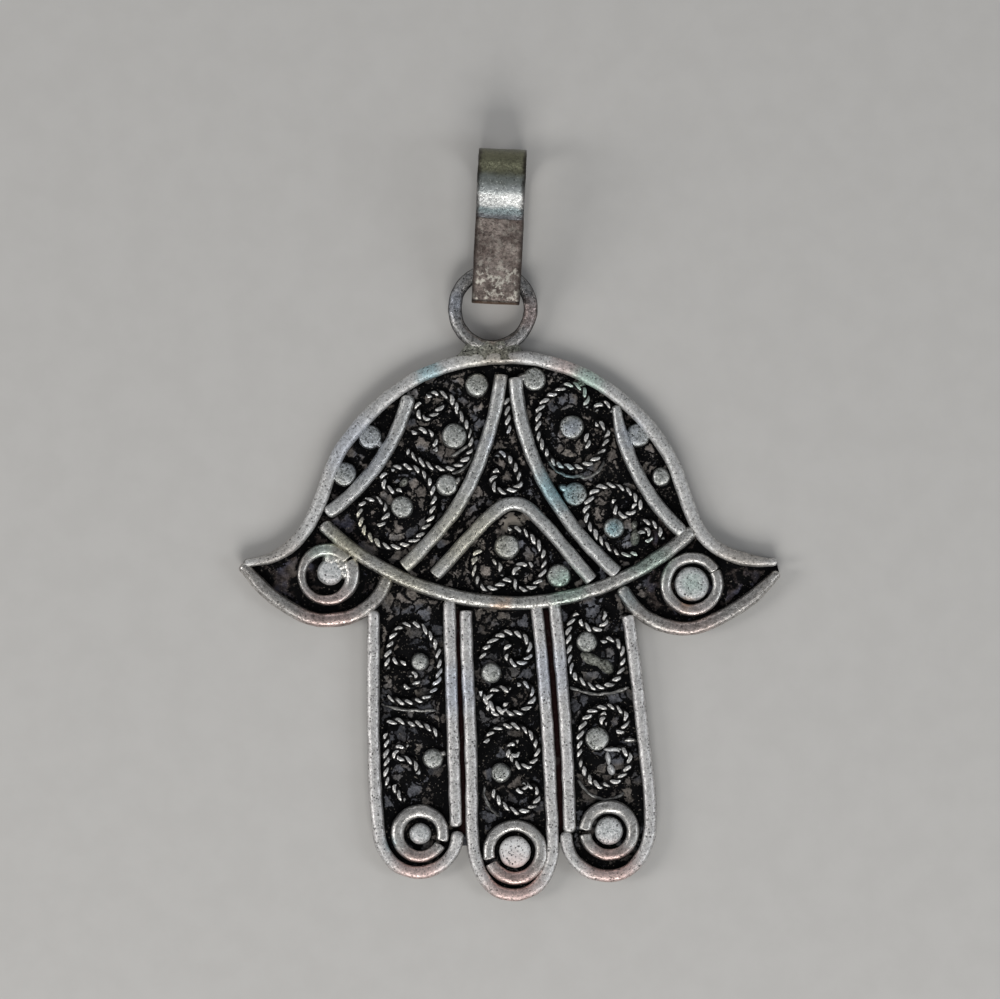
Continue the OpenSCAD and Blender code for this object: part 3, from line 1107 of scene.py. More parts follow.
ROPE_SILVER = WornSilver("rope_silver", (0.40, 0.39, 0.37), (1.0, 0.99, 0.97), 0.95, 1.005, 0.38,
                         pits=0.2, ragged=0.10, roughness=0.3)
SOLDER_GREY = WornSilver("solder_grey", (0.065, 0.067, 0.058), (0.56, 0.57, 0.51), 0.4, 0.6, 0.15,
                         pits=1.4, depth=0.06, roughness=0.38)
BRIGHT_SOLDER = WornSilver("bright_solder", (0.45, 0.46, 0.46), (1.0, 1.0, 1.0), 0.60, 0.74, 0.2,
                           pits=0.3, roughness=0.4, metallic=0.5)
RIDGE_GREY = WornSilver("ridge_grey", (0.10, 0.10, 0.095), (0.46, 0.455, 0.44), 0.60, 0.72, 0.35,
                        roughness=0.4)
# Partly painted shade: the wide flank black paints shade on the ring's steep flanks as well as patina.
RING_SILVER = WornSilver("ring_silver", (0.12, 0.117, 0.115), (0.72, 0.71, 0.70), 0.45, 0.85, 0.64,
                         pits=1.0, depth=0.02)
SHEET_FACE = FlakyBlack()
SHEET_BACK = ScratchedSilver("sheet_back", (0.16, 0.155, 0.15), (0.40, 0.39, 0.37))


def added(name: str, data: bpy.types.ID) -> bpy.types.Object:
    """Puts a new object into the scene.

    Args:
        name: its name.
        data: its mesh, camera or light.

    Returns:
        The object.
    """
    made = bpy.data.objects.new(name, data)
    bpy.context.scene.collection.objects.link(made)
    return made


def shown(bm: Mesh, name: str, finishes: Sequence[Finish]) -> bpy.types.Object:
    """Makes an object of a finished mesh.

    Args:
        bm: the mesh in metres; it is freed.
        name: the object's name.
        finishes: one finish for each material index.

    Returns:
        The object.
    """
    mesh = bpy.data.meshes.new(name)
    bm.to_mesh(mesh)
    bm.free()
    for finish in finishes:
        mesh.materials.append(finish.material())
    return added(name, mesh)


@dataclass(frozen=True)
class Maker:
    """Turns finished meshes into pieces that ride on a body and stand for a node."""

    body: Body
    node: Node
    sharp_over: float = math.radians(40)

    def piece(self, bm: Mesh, name: str, slot: Slot, *finishes: Finish) -> None:
        """Makes a piece, which stays sharp at the edges that bend more than an angle.

        Args:
            bm: the mesh in the hand's own frame, in millimetres; it is freed.
            name: the piece's name.
            slot: the record's slot; not used.
            finishes: one finish for each material index.
        """
        bmesh.ops.transform(bm, matrix=Matrix.Scale(MM, 4) @ Matrix.Translation(SHIFT), verts=bm.verts)
        for face in bm.faces:
            face.smooth = True
        for edge in bm.edges:
            if len(edge.link_faces) == 2 and edge.calc_face_angle() > self.sharp_over:
                edge.smooth = False
        made = shown(bm, name, finishes)
        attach(made, self.body.value)
        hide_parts(self.node.value)
        LOG.info("%s: %d faces", name, len(made.data.polygons))


def only(geom: Iterable[object], kind: type) -> list:
    """Returns what is of one kind, such as the vertices that an operator made."""
    return [g for g in geom if isinstance(g, kind)]


def edges_of(verts: Iterable[Vert]) -> list[Edge]:
    """Returns the edges that join these vertices to each other."""
    kept = set(verts)
    near = dict.fromkeys(e for v in verts for e in v.link_edges)
    return [e for e in near if e.verts[0] in kept and e.verts[1] in kept]


def spun(bm: Mesh, geom: Sequence, centre: Row, axis: Row, turn: float, steps: int,
         rise: Row = (0, 0, 0), closed: bool = False) -> list:
    """Draws geometry round an axis.

    Args:
        bm: the mesh.
        geom: what is drawn round.
        centre: a spot on the axis.
        axis: the way of the axis.
        turn: the whole angle in radians.
        steps: the number of steps.
        rise: how far each step moves on.
        closed: whether the last step meets the first.

    Returns:
        What the last step made.
    """
    return bmesh.ops.spin(bm, geom=geom, cent=centre, axis=axis, dvec=rise, angle=turn, steps=steps,
                          use_merge=closed, use_normal_flip=False, use_duplicate=False)["geom_last"]


def tree_of(spots: Sequence[Vector]) -> KDTree:
    """Gets ready to find the nearest of many spots in the plane.

    Args:
        spots: the spots.

    Returns:
        A balanced tree, whose numbers are those of the spots.
    """
    tree = KDTree(len(spots))
    for i, spot in enumerate(spots):
        tree.insert((*spot, 0), i)
    tree.balance()
    return tree


@dataclass(frozen=True)
class Unevenness:
    """What handwork adds to a true shape: rows of depth and width in millimetres, and a seed."""

    rows: tuple[Row, ...]

    def add_to(self, verts: Sequence[Vert], seed: float = 0.0) -> None:
        """Moves vertices a little.

        Args:
            verts: the vertices.
            seed: shifts the whole pattern.
        """
        for depth, width, own_seed in self.rows:
            for v in verts:
                v.co += depth * noise.noise_vector(v.co / width + Vector((seed + own_seed, 0, 0)))


def rub_down(verts: Iterable[Vert], level: float, soft: float = 0.06) -> None:
    """Wears the tops: what stands above a level rises ever less, and never by more than a soft margin.

    Args:
        verts: the vertices.
        level: the level.
        soft: the margin.
    """
    for v in verts:
        if v.co.z > level:
            v.co.z = level + soft * (1 - math.exp((level - v.co.z) / soft))


def joined(parts: Iterable[Mesh]) -> Mesh:
    """Returns one mesh of several, which are freed.

    Args:
        parts: the meshes.

    Returns:
        The one mesh.
    """
    bm = bmesh.new()
    carrier = bpy.data.meshes.new("carrier")
    for part in parts:
        part.to_mesh(carrier)
        part.free()
        bm.from_mesh(carrier)
    bpy.data.meshes.remove(carrier)
    return bm


def close_end(bm: Mesh, ring: list[Edge], out: Vector, radius: float, end: WireEnd) -> None:
    """Closes an open end of a tube.

    Args:
        bm: the mesh.
        ring: the edges round the open end.
        out: the way out of the end.
        radius: the tube's radius.
        end: the form of the end.
    """
    reach, last = end.value
    steps = 4
    for step in range(1, steps + 1):
        share = [math.sin(math.pi / 2 * (step - k) / steps) for k in (1, 0)]
        width = [1 - (1 - last) * (1 - math.sqrt(max(0.0, 1 - s * s))) for s in share]
        made = bmesh.ops.extrude_edge_only(bm, edges=ring)["geom"]
        verts = only(made, Vert)
        bmesh.ops.translate(bm, verts=verts, vec=out * (reach * radius * (share[1] - share[0])))
        middle = sum((v.co for v in verts), Vector()) / len(verts)
        factor = width[1] / width[0]
        bmesh.ops.scale(bm, verts=verts, vec=(factor,) * 3, space=Matrix.Translation(-middle))
        ring = edges_of(verts)
    bmesh.ops.contextual_create(bm, geom=ring)


def tube_along(route: Route, diameter: float, height: float, ends: Ends,
               step: float = 0.22, sides: int = 20) -> Mesh:
    """Bends round wire along a route: one section is spun round each bend in turn.

    Args:
        route: the route of the wire's middle.
        diameter: the wire's diameter.
        height: the height of the wire's middle.
        ends: the forms of its first and last end.
        step: the length between two sections.
        sides: the number of sides of a section.

    Returns:
        The closed tube.
    """
    bm = bmesh.new()
    section = bmesh.ops.create_circle(bm, segments=sides, radius=diameter / 2)["verts"]
    start, heading = route.at(0)
    stand = Matrix.Rotation(heading - math.pi / 2, 4, "Z") @ Matrix.Rotation(math.pi / 2, 4, "X")
    bmesh.ops.transform(bm, matrix=Matrix.Translation((*start, height)) @ stand, verts=section)
    first = edges_of(section)
    geom = [*section, *first]
    for bend in route.bends:
        steps = max(1, math.ceil(bend.length / step))
        geom = spun(bm, geom, (*bend.centre, height), (0, 0, 1), bend.turn, steps)
    last = only(geom, Edge)
    close_end(bm, first, -unit(heading).to_3d(), diameter / 2, ends[0])
    close_end(bm, last, unit(route.at(route.length)[1]).to_3d(), diameter / 2, ends[1])
    bmesh.ops.recalc_face_normals(bm, faces=bm.faces)
    return bm


@dataclass(frozen=True)
class WireStock:
    """Wire as it is soldered on, in millimetres: how thick it is, how far and softly it is rubbed down."""

    diameter: float
    worn: float = 0.14
    soft: float = 0.12
    uneven: Unevenness = Unevenness(((0.05, 1.1, 0), (0.0125, 0.4, 7)))

    def laid(self, rows: Sequence[Row], ends: Ends, seed: float) -> Mesh:
        """Returns the wire along a route on the sheet, worn on top.

        Args:
            rows: the route in shares of the hand.
            ends: the forms of its two ends.
            seed: shifts its unevenness.

        Returns:
            The wire's mesh.
        """
        height = PLAN.seat(self.diameter)
        bm = tube_along(PLAN.route(rows), self.diameter, height, ends)
        self.uneven.add_to(bm.verts, seed)
        rub_down(bm.verts, height + self.diameter / 2 - self.worn, self.soft)
        return bm


@dataclass(frozen=True)
class WireRun:
    """One wire: its name, stock, finish, route and ends.

    Each end is drawn thinner over a length in millimetres, down to a least share of its width.
    """

    name: str
    stock: WireStock
    finish: Finish
    rows: tuple[Row, ...]
    ends: Ends = WireEnd.ROUND.twice
    thin: tuple[float, float] = (0.0, 0.0)
    least: float = 0.5

    def build(self, maker: Maker, seed: float) -> None:
        """Makes the wire's piece.

        Args:
            maker: makes the piece.
            seed: shifts its unevenness.
        """
        bm = self.stock.laid(self.rows, self.ends, seed)
        route = PLAN.route(self.rows)
        for tip_at, reach in zip((0, route.length), self.thin):
            self.thinned(bm, route, tip_at, reach)
        maker.piece(bm, self.name, Slot.HAND, self.finish)

    def thinned(self, bm: Mesh, route: Route, tip_at: float, reach: float) -> None:
        """Draws one end of the wire thinner.

        Args:
            bm: the wire's mesh.
            route: the route of its middle.
            tip_at: how far along the route the end lies.
            reach: the length that is drawn thinner.
        """
        tip = route.at(tip_at)[0]
        for v in bm.verts:
            away = (v.co.xy - tip).length
            if away < reach:
                core = route.at(abs(tip_at - away))[0]
                v.co.xy = core + (self.least + (1 - self.least) * away / reach) * (v.co.xy - core)


@dataclass(frozen=True)
class Wires:
    """Every round wire on the hand, with routes in shares across and along, and headings.

    The thumbs' wires are of the palm arc's stock, the bars of the fingers' and the chevron of the dividers'.
    """

    rim: WireStock = WireStock(0.98)
    palm: WireStock = WireStock(1.02)
    finger: WireStock = WireStock(0.92)
    divider: WireStock = WireStock(1.0)
    seed_step: float = 3.7

    def borders(self) -> tuple[WireRun, ...]:
        """Returns the rim, the palm arc and the wires under the thumbs.

        Returns:
            The wires in order.
        """
        return (
            WireRun("rim_wire", self.rim, DOME_SILVER, (
                (-0.996, 0.157, 8), (-0.854, 0.204), (-0.749, 0.331, 62), (-0.621, 0.645), (-0.306, 0.937),
                (-0.009, 1, 0), (0.445, 0.8), (0.591, 0.604), (0.666, 0.396, -70), (0.741, 0.249, -42),
                (0.996, 0.163, 2),
            ), thin=(3.4, 2.6)),
            WireRun("thumb_wire_left", self.palm, RIM_SILVER, (
                (-1, 0.143, -48), (-0.865, 0), (-0.707, -0.061, -3), (-0.557, -0.031), (-0.467, 0.082),
            ), thin=(1.6, 0.0), least=0.75),
            WireRun("thumb_wire_right", self.palm, RIM_SILVER, (
                (0.426, 0.041), (0.505, -0.048), (0.659, -0.09, 0), (0.812, -0.041), (1, 0.118),
            ), thin=(0.0, 2.2), least=0.6),
            WireRun("palm_arc_wire", self.palm, WIRE_SILVER, (
                (-0.692, 0.306), (-0.373, 0.081), (0.017, -0.003, 0), (0.362, 0.069), (0.67, 0.279),
            )),
        )

    def fingers(self) -> tuple[WireRun, ...]:
        """Returns the bent wires round the fingers and the two bars beside the middle finger.

        Returns:
            The wires in order.
        """
        return (
            WireRun("finger_wire_left", self.finger, PAINTED_LIGHTER_FINGER_SILVER, (
                (-0.514, -0.044, -90), (-0.514, -0.429, -89), (-0.491, -0.796, -82), (-0.351, -0.92, 0),
                (-0.199, -0.796, 88),
            )),
            WireRun("finger_bar_left", self.finger, PAINTED_LIGHTER_FINGER_SILVER, (
                (-0.23, -0.01), (-0.2185, -0.367), (-0.205, -0.748),
            )),
            WireRun("finger_wire_middle", self.finger, PAINTED_LIGHTER_FINGER_SILVER, (
                (-0.167, -0.034, -90), (-0.149, -0.5), (-0.14, -0.827, -86), (0.013, -0.997, 0),
                (0.159, -0.83, 92), (0.139, -0.446, 94), (0.101, -0.048, 97),
            ), (WireEnd.BLUNT, WireEnd.TAPERED)),
            WireRun("finger_bar_right", self.finger, PAINTED_LIGHTER_FINGER_SILVER, (
                (0.167, -0.034), (0.199, -0.333), (0.221, -0.769),
            ), (WireEnd.TAPERED, WireEnd.ROUND)),
            WireRun("finger_wire_right", self.finger, PAINTED_LIGHTER_FINGER_SILVER, (
                (0.442, -0.051, -82), (0.495, -0.435, -84), (0.523, -0.772, -93), (0.366, -0.932, 180),
                (0.21, -0.799, 89),
            ), (WireEnd.BLUNT, WireEnd.ROUND)),
        )

    def dividers(self) -> tuple[WireRun, ...]:
        """Returns the wires that part the dome, and the chevron.

        Returns:
            The wires in order.
        """
        blunt = WireEnd.BLUNT.twice
        return (
            WireRun("divider_side_left", self.divider, DIVIDER_SILVER, (
                (-0.385, 0.824), (-0.471, 0.608), (-0.675, 0.371),
            )),
            WireRun("divider_side_right", self.divider, DIVIDER_SILVER, (
                (0.396, 0.796), (0.493, 0.49), (0.636, 0.294),
            ), thin=(2.4, 0.0), least=0.6),
            WireRun("divider_middle_left", self.divider, DIVIDER_SILVER, (
                (-0.036, 0.922), (-0.081, 0.686), (-0.174, 0.437), (-0.396, 0.147),
            ), blunt),
            WireRun("divider_middle_right", self.divider, DIVIDER_SILVER, (
                (0.019, 0.91), (0.084, 0.588), (0.2, 0.359), (0.395, 0.122),
            ), blunt),
            WireRun("chevron_wire", self.divider, DIVIDER_SILVER, (
                (-0.28, 0.114, 47), (-0.081, 0.346, 44), (0.013, 0.402, 0), (0.086, 0.364, -46),
                (0.3, 0.094, -50),
            ), blunt),
        )

    def runs(self) -> tuple[WireRun, ...]:
        """Returns every wire."""
        return (*self.borders(), *self.fingers(), *self.dividers())

    def build(self, maker: Maker) -> None:
        """Makes a piece of each wire."""
        for number, run in enumerate(self.runs()):
            run.build(maker, self.seed_step * number)


@dataclass(frozen=True)
class SlumpedBead:
    """A ball that has sunk into the solder and is rubbed flat on top, in millimetres.

    Its middle rises a little over the sheet, its foot is bedded in it, and sinking has spread it.
    """

    x: float
    y: float
    radius: float
    top: float
    spread: float = 1.04
    rise: float = 0.05
    bedded: float = 0.25
    worn: float = 0.18
    soft: float = 0.22
    uneven: Unevenness = Unevenness(((0.05, 0.8, 0), (0.02, 0.3, 2)))

    def add_to(self, bm: Mesh, seed: float) -> None:
        """Adds the bead to a mesh.

        Args:
            bm: the mesh.
            seed: shifts its unevenness.
        """
        radius = self.radius * self.spread
        verts = bmesh.ops.create_uvsphere(bm, u_segments=28, v_segments=18, radius=radius)["verts"]
        bmesh.ops.translate(bm, verts=verts, vec=(self.x, self.y, PLAN.sheet_t + self.rise))
        self.uneven.add_to(verts, seed)
        rub_down(verts, self.top - self.worn, self.soft)
        geom = [*verts, *edges_of(verts), *dict.fromkeys(f for v in verts for f in v.link_faces)]
        foot = (0, 0, PLAN.sheet_t - self.bedded)
        cut = bmesh.ops.bisect_plane(bm, geom=geom, plane_co=foot, plane_no=(0, 0, 1), clear_inner=True)
        bmesh.ops.contextual_create(bm, geom=only(cut["geom_cut"], Edge))


@dataclass(frozen=True)
class Eye:
    """A split ring with a bead in it, in millimetres and degrees.

    It has its name, its middle, its outer radius, the bead's radius, the angle of the split, and the
    bead's place off the middle. The wire is thicker by a share on the side that an angle names, and
    thinner across from there.
    """

    name: str
    x: float
    y: float
    outer_r: float
    bead_r: float
    split_at: float
    bead_x: float = 0.0
    bead_y: float = 0.0
    swell: float = 0.0
    swell_at: float = 0.0
    split: float = 0.52
    wire_d: float = 0.9
    bead: Finish = BEAD_SILVER

    @property
    def middle_r(self) -> float:
        """Radius of the ring at the middle of its wire."""
        return self.outer_r - self.wire_d / 2


@dataclass(frozen=True)
class EyeRings:
    """The eyes on both thumbs and at the three finger tips, in millimetres."""

    worn: float = 0.12
    soft: float = 0.1
    uneven: Unevenness = Unevenness(((0.05, 0.9, 0),))
    bead_top: float = 1.24
    step: float = 0.16
    ring_seed_step: float = 5.1
    bead_seed_step: float = 2.3
    eyes: tuple[Eye, ...] = (
        Eye("thumb_left", -13.11, 1.93, 2.24, 0.9, 36, 0.23, 0.2,
            swell=0.30, swell_at=25, split=0.36, wire_d=0.84),
        Eye("thumb_right", 12.96, 1.29, 2.29, 1.19, 30, split=0.25, wire_d=0.83),
        Eye("finger_left", -6.46, -16.57, 2.08, 0.74, -22, swell=0.08, swell_at=120),
        Eye("finger_middle", 0.32, -17.86, 2.34, 1.11, 200,
            swell=0.08, swell_at=-60, bead=BRIGHT_BEAD_SILVER),
        Eye("finger_right", 7.04, -16.36, 2.17, 0.99, 182, swell=0.08, swell_at=60),
    )

    def ring(self, eye: Eye, seed: float) -> Mesh:
        """Returns one split ring, spun from a round section and swollen on one side.

        Args:
            eye: the eye.
            seed: shifts its unevenness.

        Returns:
            The ring's mesh.
        """
        half_gap = eye.split / 2 / eye.middle_r
        start = math.radians(eye.split_at) + half_gap
        centre = Vector((eye.x, eye.y))
        quarter = (2 * math.pi - 2 * half_gap) / 4
        angles = [start + quarter * i for i in range(5)]
        rows = [(*(centre + eye.middle_r * unit(a)), math.degrees(a) + 90) for a in angles]
        height = PLAN.seat(eye.wire_d)
        bm = tube_along(Route(rows), eye.wire_d, height, WireEnd.BLUNT.twice, self.step)
        for v in bm.verts:
            angle = towards(centre, v.co.xy)
            core = centre + eye.middle_r * unit(angle)
            share = 1 + eye.swell * math.cos(angle - math.radians(eye.swell_at))
            v.co.xy = core + share * (v.co.xy - core)
        self.uneven.add_to(bm.verts, seed)
        rub_down(bm.verts, height + eye.wire_d / 2 - self.worn, self.soft)
        return bm

    def build(self, maker: Maker) -> None:
        """Makes the rings and their beads.

        Args:
            maker: makes the pieces.
        """
        for number, eye in enumerate(self.eyes):
            ring = self.ring(eye, self.ring_seed_step * number)
            maker.piece(ring, f"eye_ring_{eye.name}", Slot.HAND, EYE_SILVER)
            bm = bmesh.new()
            bead = SlumpedBead(eye.x + eye.bead_x, eye.y + eye.bead_y, eye.bead_r, self.bead_top)
            bead.add_to(bm, self.bead_seed_step * number)
            maker.piece(bm, f"eye_bead_{eye.name}", Slot.GRANULE, eye.bead)


@dataclass(frozen=True)
class Panel:
    """What lies between some wires: the panel's name, and a row or a route for each thing on it."""

    name: str
    rows: tuple[Union[Row, tuple[Row, ...]], ...]


@dataclass(frozen=True)
class Granules:
    """The small slumped beads between the dividing wires, in millimetres; some are a little lower.

    A row has a granule's place and radius.
    """

    top: float = 1.18
    lower: float = 0.08
    panels: tuple[Panel, ...] = (
        Panel("dome_left", (
            (-2.39, 15.5, 0.83), (-4.04, 11.86, 0.88), (-4.54, 8.36, 0.76), (-7.75, 6.79, 0.79),
        )),
        Panel("side_left", ((-10.04, 11.79, 0.84), (-11.86, 9.14, 0.86))),
        Panel("dome_right", (
            (1.68, 15.93, 0.82), (4.39, 12.5, 0.83), (4.61, 7.71, 0.84), (7.39, 5.29, 0.72),
        )),
        Panel("side_right", ((9.11, 11.93, 0.84), (10.75, 8.93, 0.66))),
        Panel("chevron", ((-0.25, 3.93, 0.87), (3.46, 1.86, 0.83))),
        Panel("finger_left", ((-6.46, -4.29, 0.61), (-5.54, -11.21, 0.72))),
        Panel("finger_middle", ((-1.39, -5.07, 0.7), (-0.68, -12.21, 0.69))),
        Panel("finger_right", ((5.46, -2.86, 0.72), (6.18, -9.79, 0.83))),
    )

    def build(self, maker: Maker) -> None:
        """Makes one piece of each panel's granules.

        Args:
            maker: makes the pieces.
        """
        for number, panel in enumerate(self.panels):
            bm = bmesh.new()
            for i, (x, y, radius) in enumerate(panel.rows):
                top = self.top - self.lower * abs(math.sin(7 * number + 3 * i))
                SlumpedBead(x, y, radius, top).add_to(bm, 11 * number + 3 * i)
            maker.piece(bm, f"granules_{panel.name}", Slot.GRANULE, GRANULE_SILVER)


@dataclass(frozen=True)
class Scrolls:
    """Scrolls of two fine wires twisted together between the dividing wires, in millimetres.

    A panel's rows are the routes of its scrolls.
    """

    strand_r: float = 0.138
    apart: float = 0.135
    pitch: float = 1.34
    sides: int = 8
    turn_steps: int = 14
    height: float = 0.80
    worn_top: float = 1.0
    soft: float = 0.05
    start_step: float = 1.3
    uneven: Unevenness = Unevenness(((0.08, 0.9, 0), (0.05, 0.35, 5)))
    panels: tuple[Panel, ...] = (
        Panel("dome_left", (
            ((-6.0, 14.7), (-4.7, 14.8), (-3.6, 13.4), (-2.8, 11.6), (-2.9, 10.7), (-4.1, 9.65),
             (-5.6, 9.65), (-6.7, 10.2), (-7.4, 10.9)),
            ((-4.8, 14.2), (-5.3, 13.5), (-6.2, 13.15), (-6.65, 13.6), (-6.5, 14.3)),
            ((-7.0, 12.1), (-5.9, 12.15), (-5.4, 11.6), (-5.45, 10.8)),
            ((-8.5, 9.5), (-7.0, 9.6), (-5.8, 8.6), (-5.5, 7.3), (-5.9, 5.6), (-7.0, 4.35), (-8.6, 3.95),
             (-10.0, 4.6), (-10.75, 5.9), (-10.6, 7.0), (-9.6, 7.35), (-8.9, 6.7), (-9.4, 5.4)),
            ((-8.9, 9.3), (-9.05, 8.5), (-8.5, 8.0), (-7.8, 8.0)),
        )),
        Panel("dome_right", (
            ((5.3, 13.9), (5.3, 15.0), (4.5, 15.5), (3.4, 15.1), (2.3, 14.2), (1.95, 12.9), (2.2, 11.4),
             (3.2, 9.95), (4.6, 9.65), (5.9, 10.1), (6.7, 11.2), (6.9, 12.2), (6.1, 12.8)),
            ((5.4, 12.0), (5.5, 11.4), (5.4, 10.9)),
            ((6.1, 13.6), (6.6, 14.2), (7.2, 13.5)),
            ((9.4, 6.6), (8.7, 7.7), (7.4, 8.3), (6.3, 8.15), (5.6, 7.2), (5.4, 6.2), (5.9, 5.1), (6.9, 4.0),
             (8.1, 3.4), (9.0, 3.5)),
            ((7.4, 7.3), (7.4, 6.8), (7.9, 6.2), (8.6, 6.4), (8.9, 7.0)),
            ((9.3, 5.8), (10.0, 5.65), (10.6, 5.2), (10.8, 4.5)),
            ((9.2, 4.9), (9.7, 5.1), (10.0, 4.6), (9.6, 4.25)),
        )),
        Panel("middle", (
            ((-0.25, 14.6), (-0.2, 13.2), (-0.1, 12.1)),
            ((-0.9, 9.4), (-1.2, 8.3), (-0.9, 8.0), (-0.2, 7.9), (0.6, 8.4), (0.55, 9.2), (0.1, 10.0),
             (-0.6, 10.6), (-1.0, 10.4)),
        )),
        Panel("chevron", (
            ((-0.2, 5.25), (0.9, 5.05), (1.7, 4.4), (2.3, 3.5), (2.4, 2.7), (2.1, 1.7), (1.6, 1.05),
             (0.7, 0.95), (-0.1, 1.6), (-0.6, 1.35), (-1.2, 1.0), (-1.9, 1.0), (-2.45, 1.75), (-2.6, 2.8),
             (-2.2, 3.8)),
            ((0.35, 1.9), (0.5, 2.5), (1.0, 2.75), (1.6, 2.55)),
            ((-1.3, 2.95), (-0.75, 2.4), (-0.75, 1.9)),
        )),
        Panel("finger_left", (
            ((-8.85, -4.8), (-8.6, -3.1), (-7.8, -1.7), (-6.5, -1.75), (-5.5, -2.8), (-5.15, -3.9),
             (-5.3, -5.9), (-6.0, -6.8), (-7.3, -7.15), (-8.8, -6.8)),
            ((-8.45, -4.1), (-7.5, -4.35)),
            ((-7.2, -5.4), (-7.7, -5.9)),
            ((-8.8, -8.7), (-8.0, -8.5), (-7.3, -8.65), (-6.2, -8.8), (-5.1, -9.6)),
            ((-8.9, -9.4), (-8.85, -10.6), (-8.9, -11.9), (-8.8, -13.3)),
            ((-7.4, -10.4), (-8.2, -10.6), (-8.2, -11.1), (-7.4, -11.2), (-6.7, -11.8), (-6.6, -12.3)),
            ((-8.4, -13.1), (-8.1, -13.6), (-7.6, -14.2)),
        )),
        Panel("finger_middle", (
            ((-2.1, -4.1), (-1.6, -3.1), (-0.6, -2.3), (0.6, -2.3), (1.3, -3.1), (1.1, -4.2), (0.2, -4.4),
             (-0.3, -3.7), (-0.05, -2.9)),
            ((-2.1, -6.4), (-1.6, -7.2), (-0.3, -7.95), (0.8, -7.85), (1.55, -7.0), (1.4, -6.1),
             (0.5, -5.85)),
            ((-0.1, -6.3), (-0.35, -7.2)),
            ((-1.8, -10.1), (-1.5, -9.5), (-0.9, -9.0), (0.1, -8.8), (1.2, -9.25), (1.85, -10.2),
             (1.75, -11.3), (1.0, -11.8), (0.2, -11.4), (0.1, -10.8)),
            ((0.55, -10.1), (0.45, -10.7)),
            ((-1.3, -13.4), (-0.8, -14.2), (0.1, -14.85), (1.2, -14.85), (1.9, -14.2), (1.9, -13.5),
             (1.3, -13.15)),
            ((0.9, -13.0), (0.4, -13.4)),
        )),
        Panel("finger_right", (
            ((6.5, -2.9), (7.3, -2.7), (7.9, -3.3), (8.0, -4.4), (7.6, -5.5), (6.6, -6.05), (5.4, -5.9),
             (4.55, -5.2), (4.25, -4.1), (4.15, -2.8), (4.25, -1.6), (4.75, -0.8)),
            ((6.5, -0.6), (6.8, -1.3), (6.2, -1.95), (5.4, -1.7), (4.95, -1.3)),
            ((7.6, -9.35), (8.25, -8.8), (8.2, -8.1), (7.3, -7.5), (6.3, -7.55), (5.4, -8.3), (4.95, -9.6),
             (4.95, -11.0), (5.4, -12.3), (6.3, -13.1), (7.3, -12.9), (8.2, -12.1), (8.5, -11.1),
             (7.6, -10.5)),
            ((6.8, -8.0), (6.5, -8.4), (6.8, -8.8)),
        )),
    )

    def strand(self, route: Route, start: float) -> Mesh:
        """Returns one of a rope's two wires: a section screwed along an axis and then bent to the route.

        Args:
            route: the route of the rope's middle.
            start: the angle round the axis that it starts at.

        Returns:
            The strand's mesh.
        """
        bm = bmesh.new()
        turns = route.length / self.pitch
        steps = max(4, math.ceil(turns * self.turn_steps))
        slant = math.atan(2 * math.pi * self.apart / self.pitch)
        made = bmesh.ops.create_circle(bm, cap_ends=True, segments=self.sides, radius=self.strand_r)
        section = made["verts"]
        wide = Matrix.Diagonal((1, 1 / math.cos(slant), 1, 1))
        lifted = Matrix.Translation((0, 0, self.apart)) @ wide @ Matrix.Rotation(math.pi / 2, 4, "Y")
        bmesh.ops.transform(bm, matrix=Matrix.Rotation(start, 4, "X") @ lifted, verts=section)
        last = spun(bm, [*section, *edges_of(section)], (0, 0, 0), (1, 0, 0), math.tau * turns, steps,
                    (route.length / steps, 0, 0))
        bmesh.ops.contextual_create(bm, geom=only(last, Edge))
        for v in bm.verts:
            place, heading = route.at(min(max(v.co.x, 0.0), route.length))
            side = unit(heading + math.pi / 2)
            v.co = Vector((*(place + v.co.y * side), self.height + v.co.z))
        return bm

    def build(self, maker: Maker) -> None:
        """Makes one piece of each panel's scrolls.

        Args:
            maker: makes the pieces.
        """
        for number, panel in enumerate(self.panels):
            strands = [
                self.strand(Route(rows), self.start_step * i + number + turn)
                for i, rows in enumerate(panel.rows) for turn in (0, math.pi)
            ]
            bm = joined(strands)
            self.uneven.add_to(bm.verts, number)
            rub_down(bm.verts, self.worn_top, self.soft)
            bmesh.ops.recalc_face_normals(bm, faces=bm.faces)
            maker.piece(bm, f"scrolls_{panel.name}", Slot.SCROLL, ROPE_SILVER)


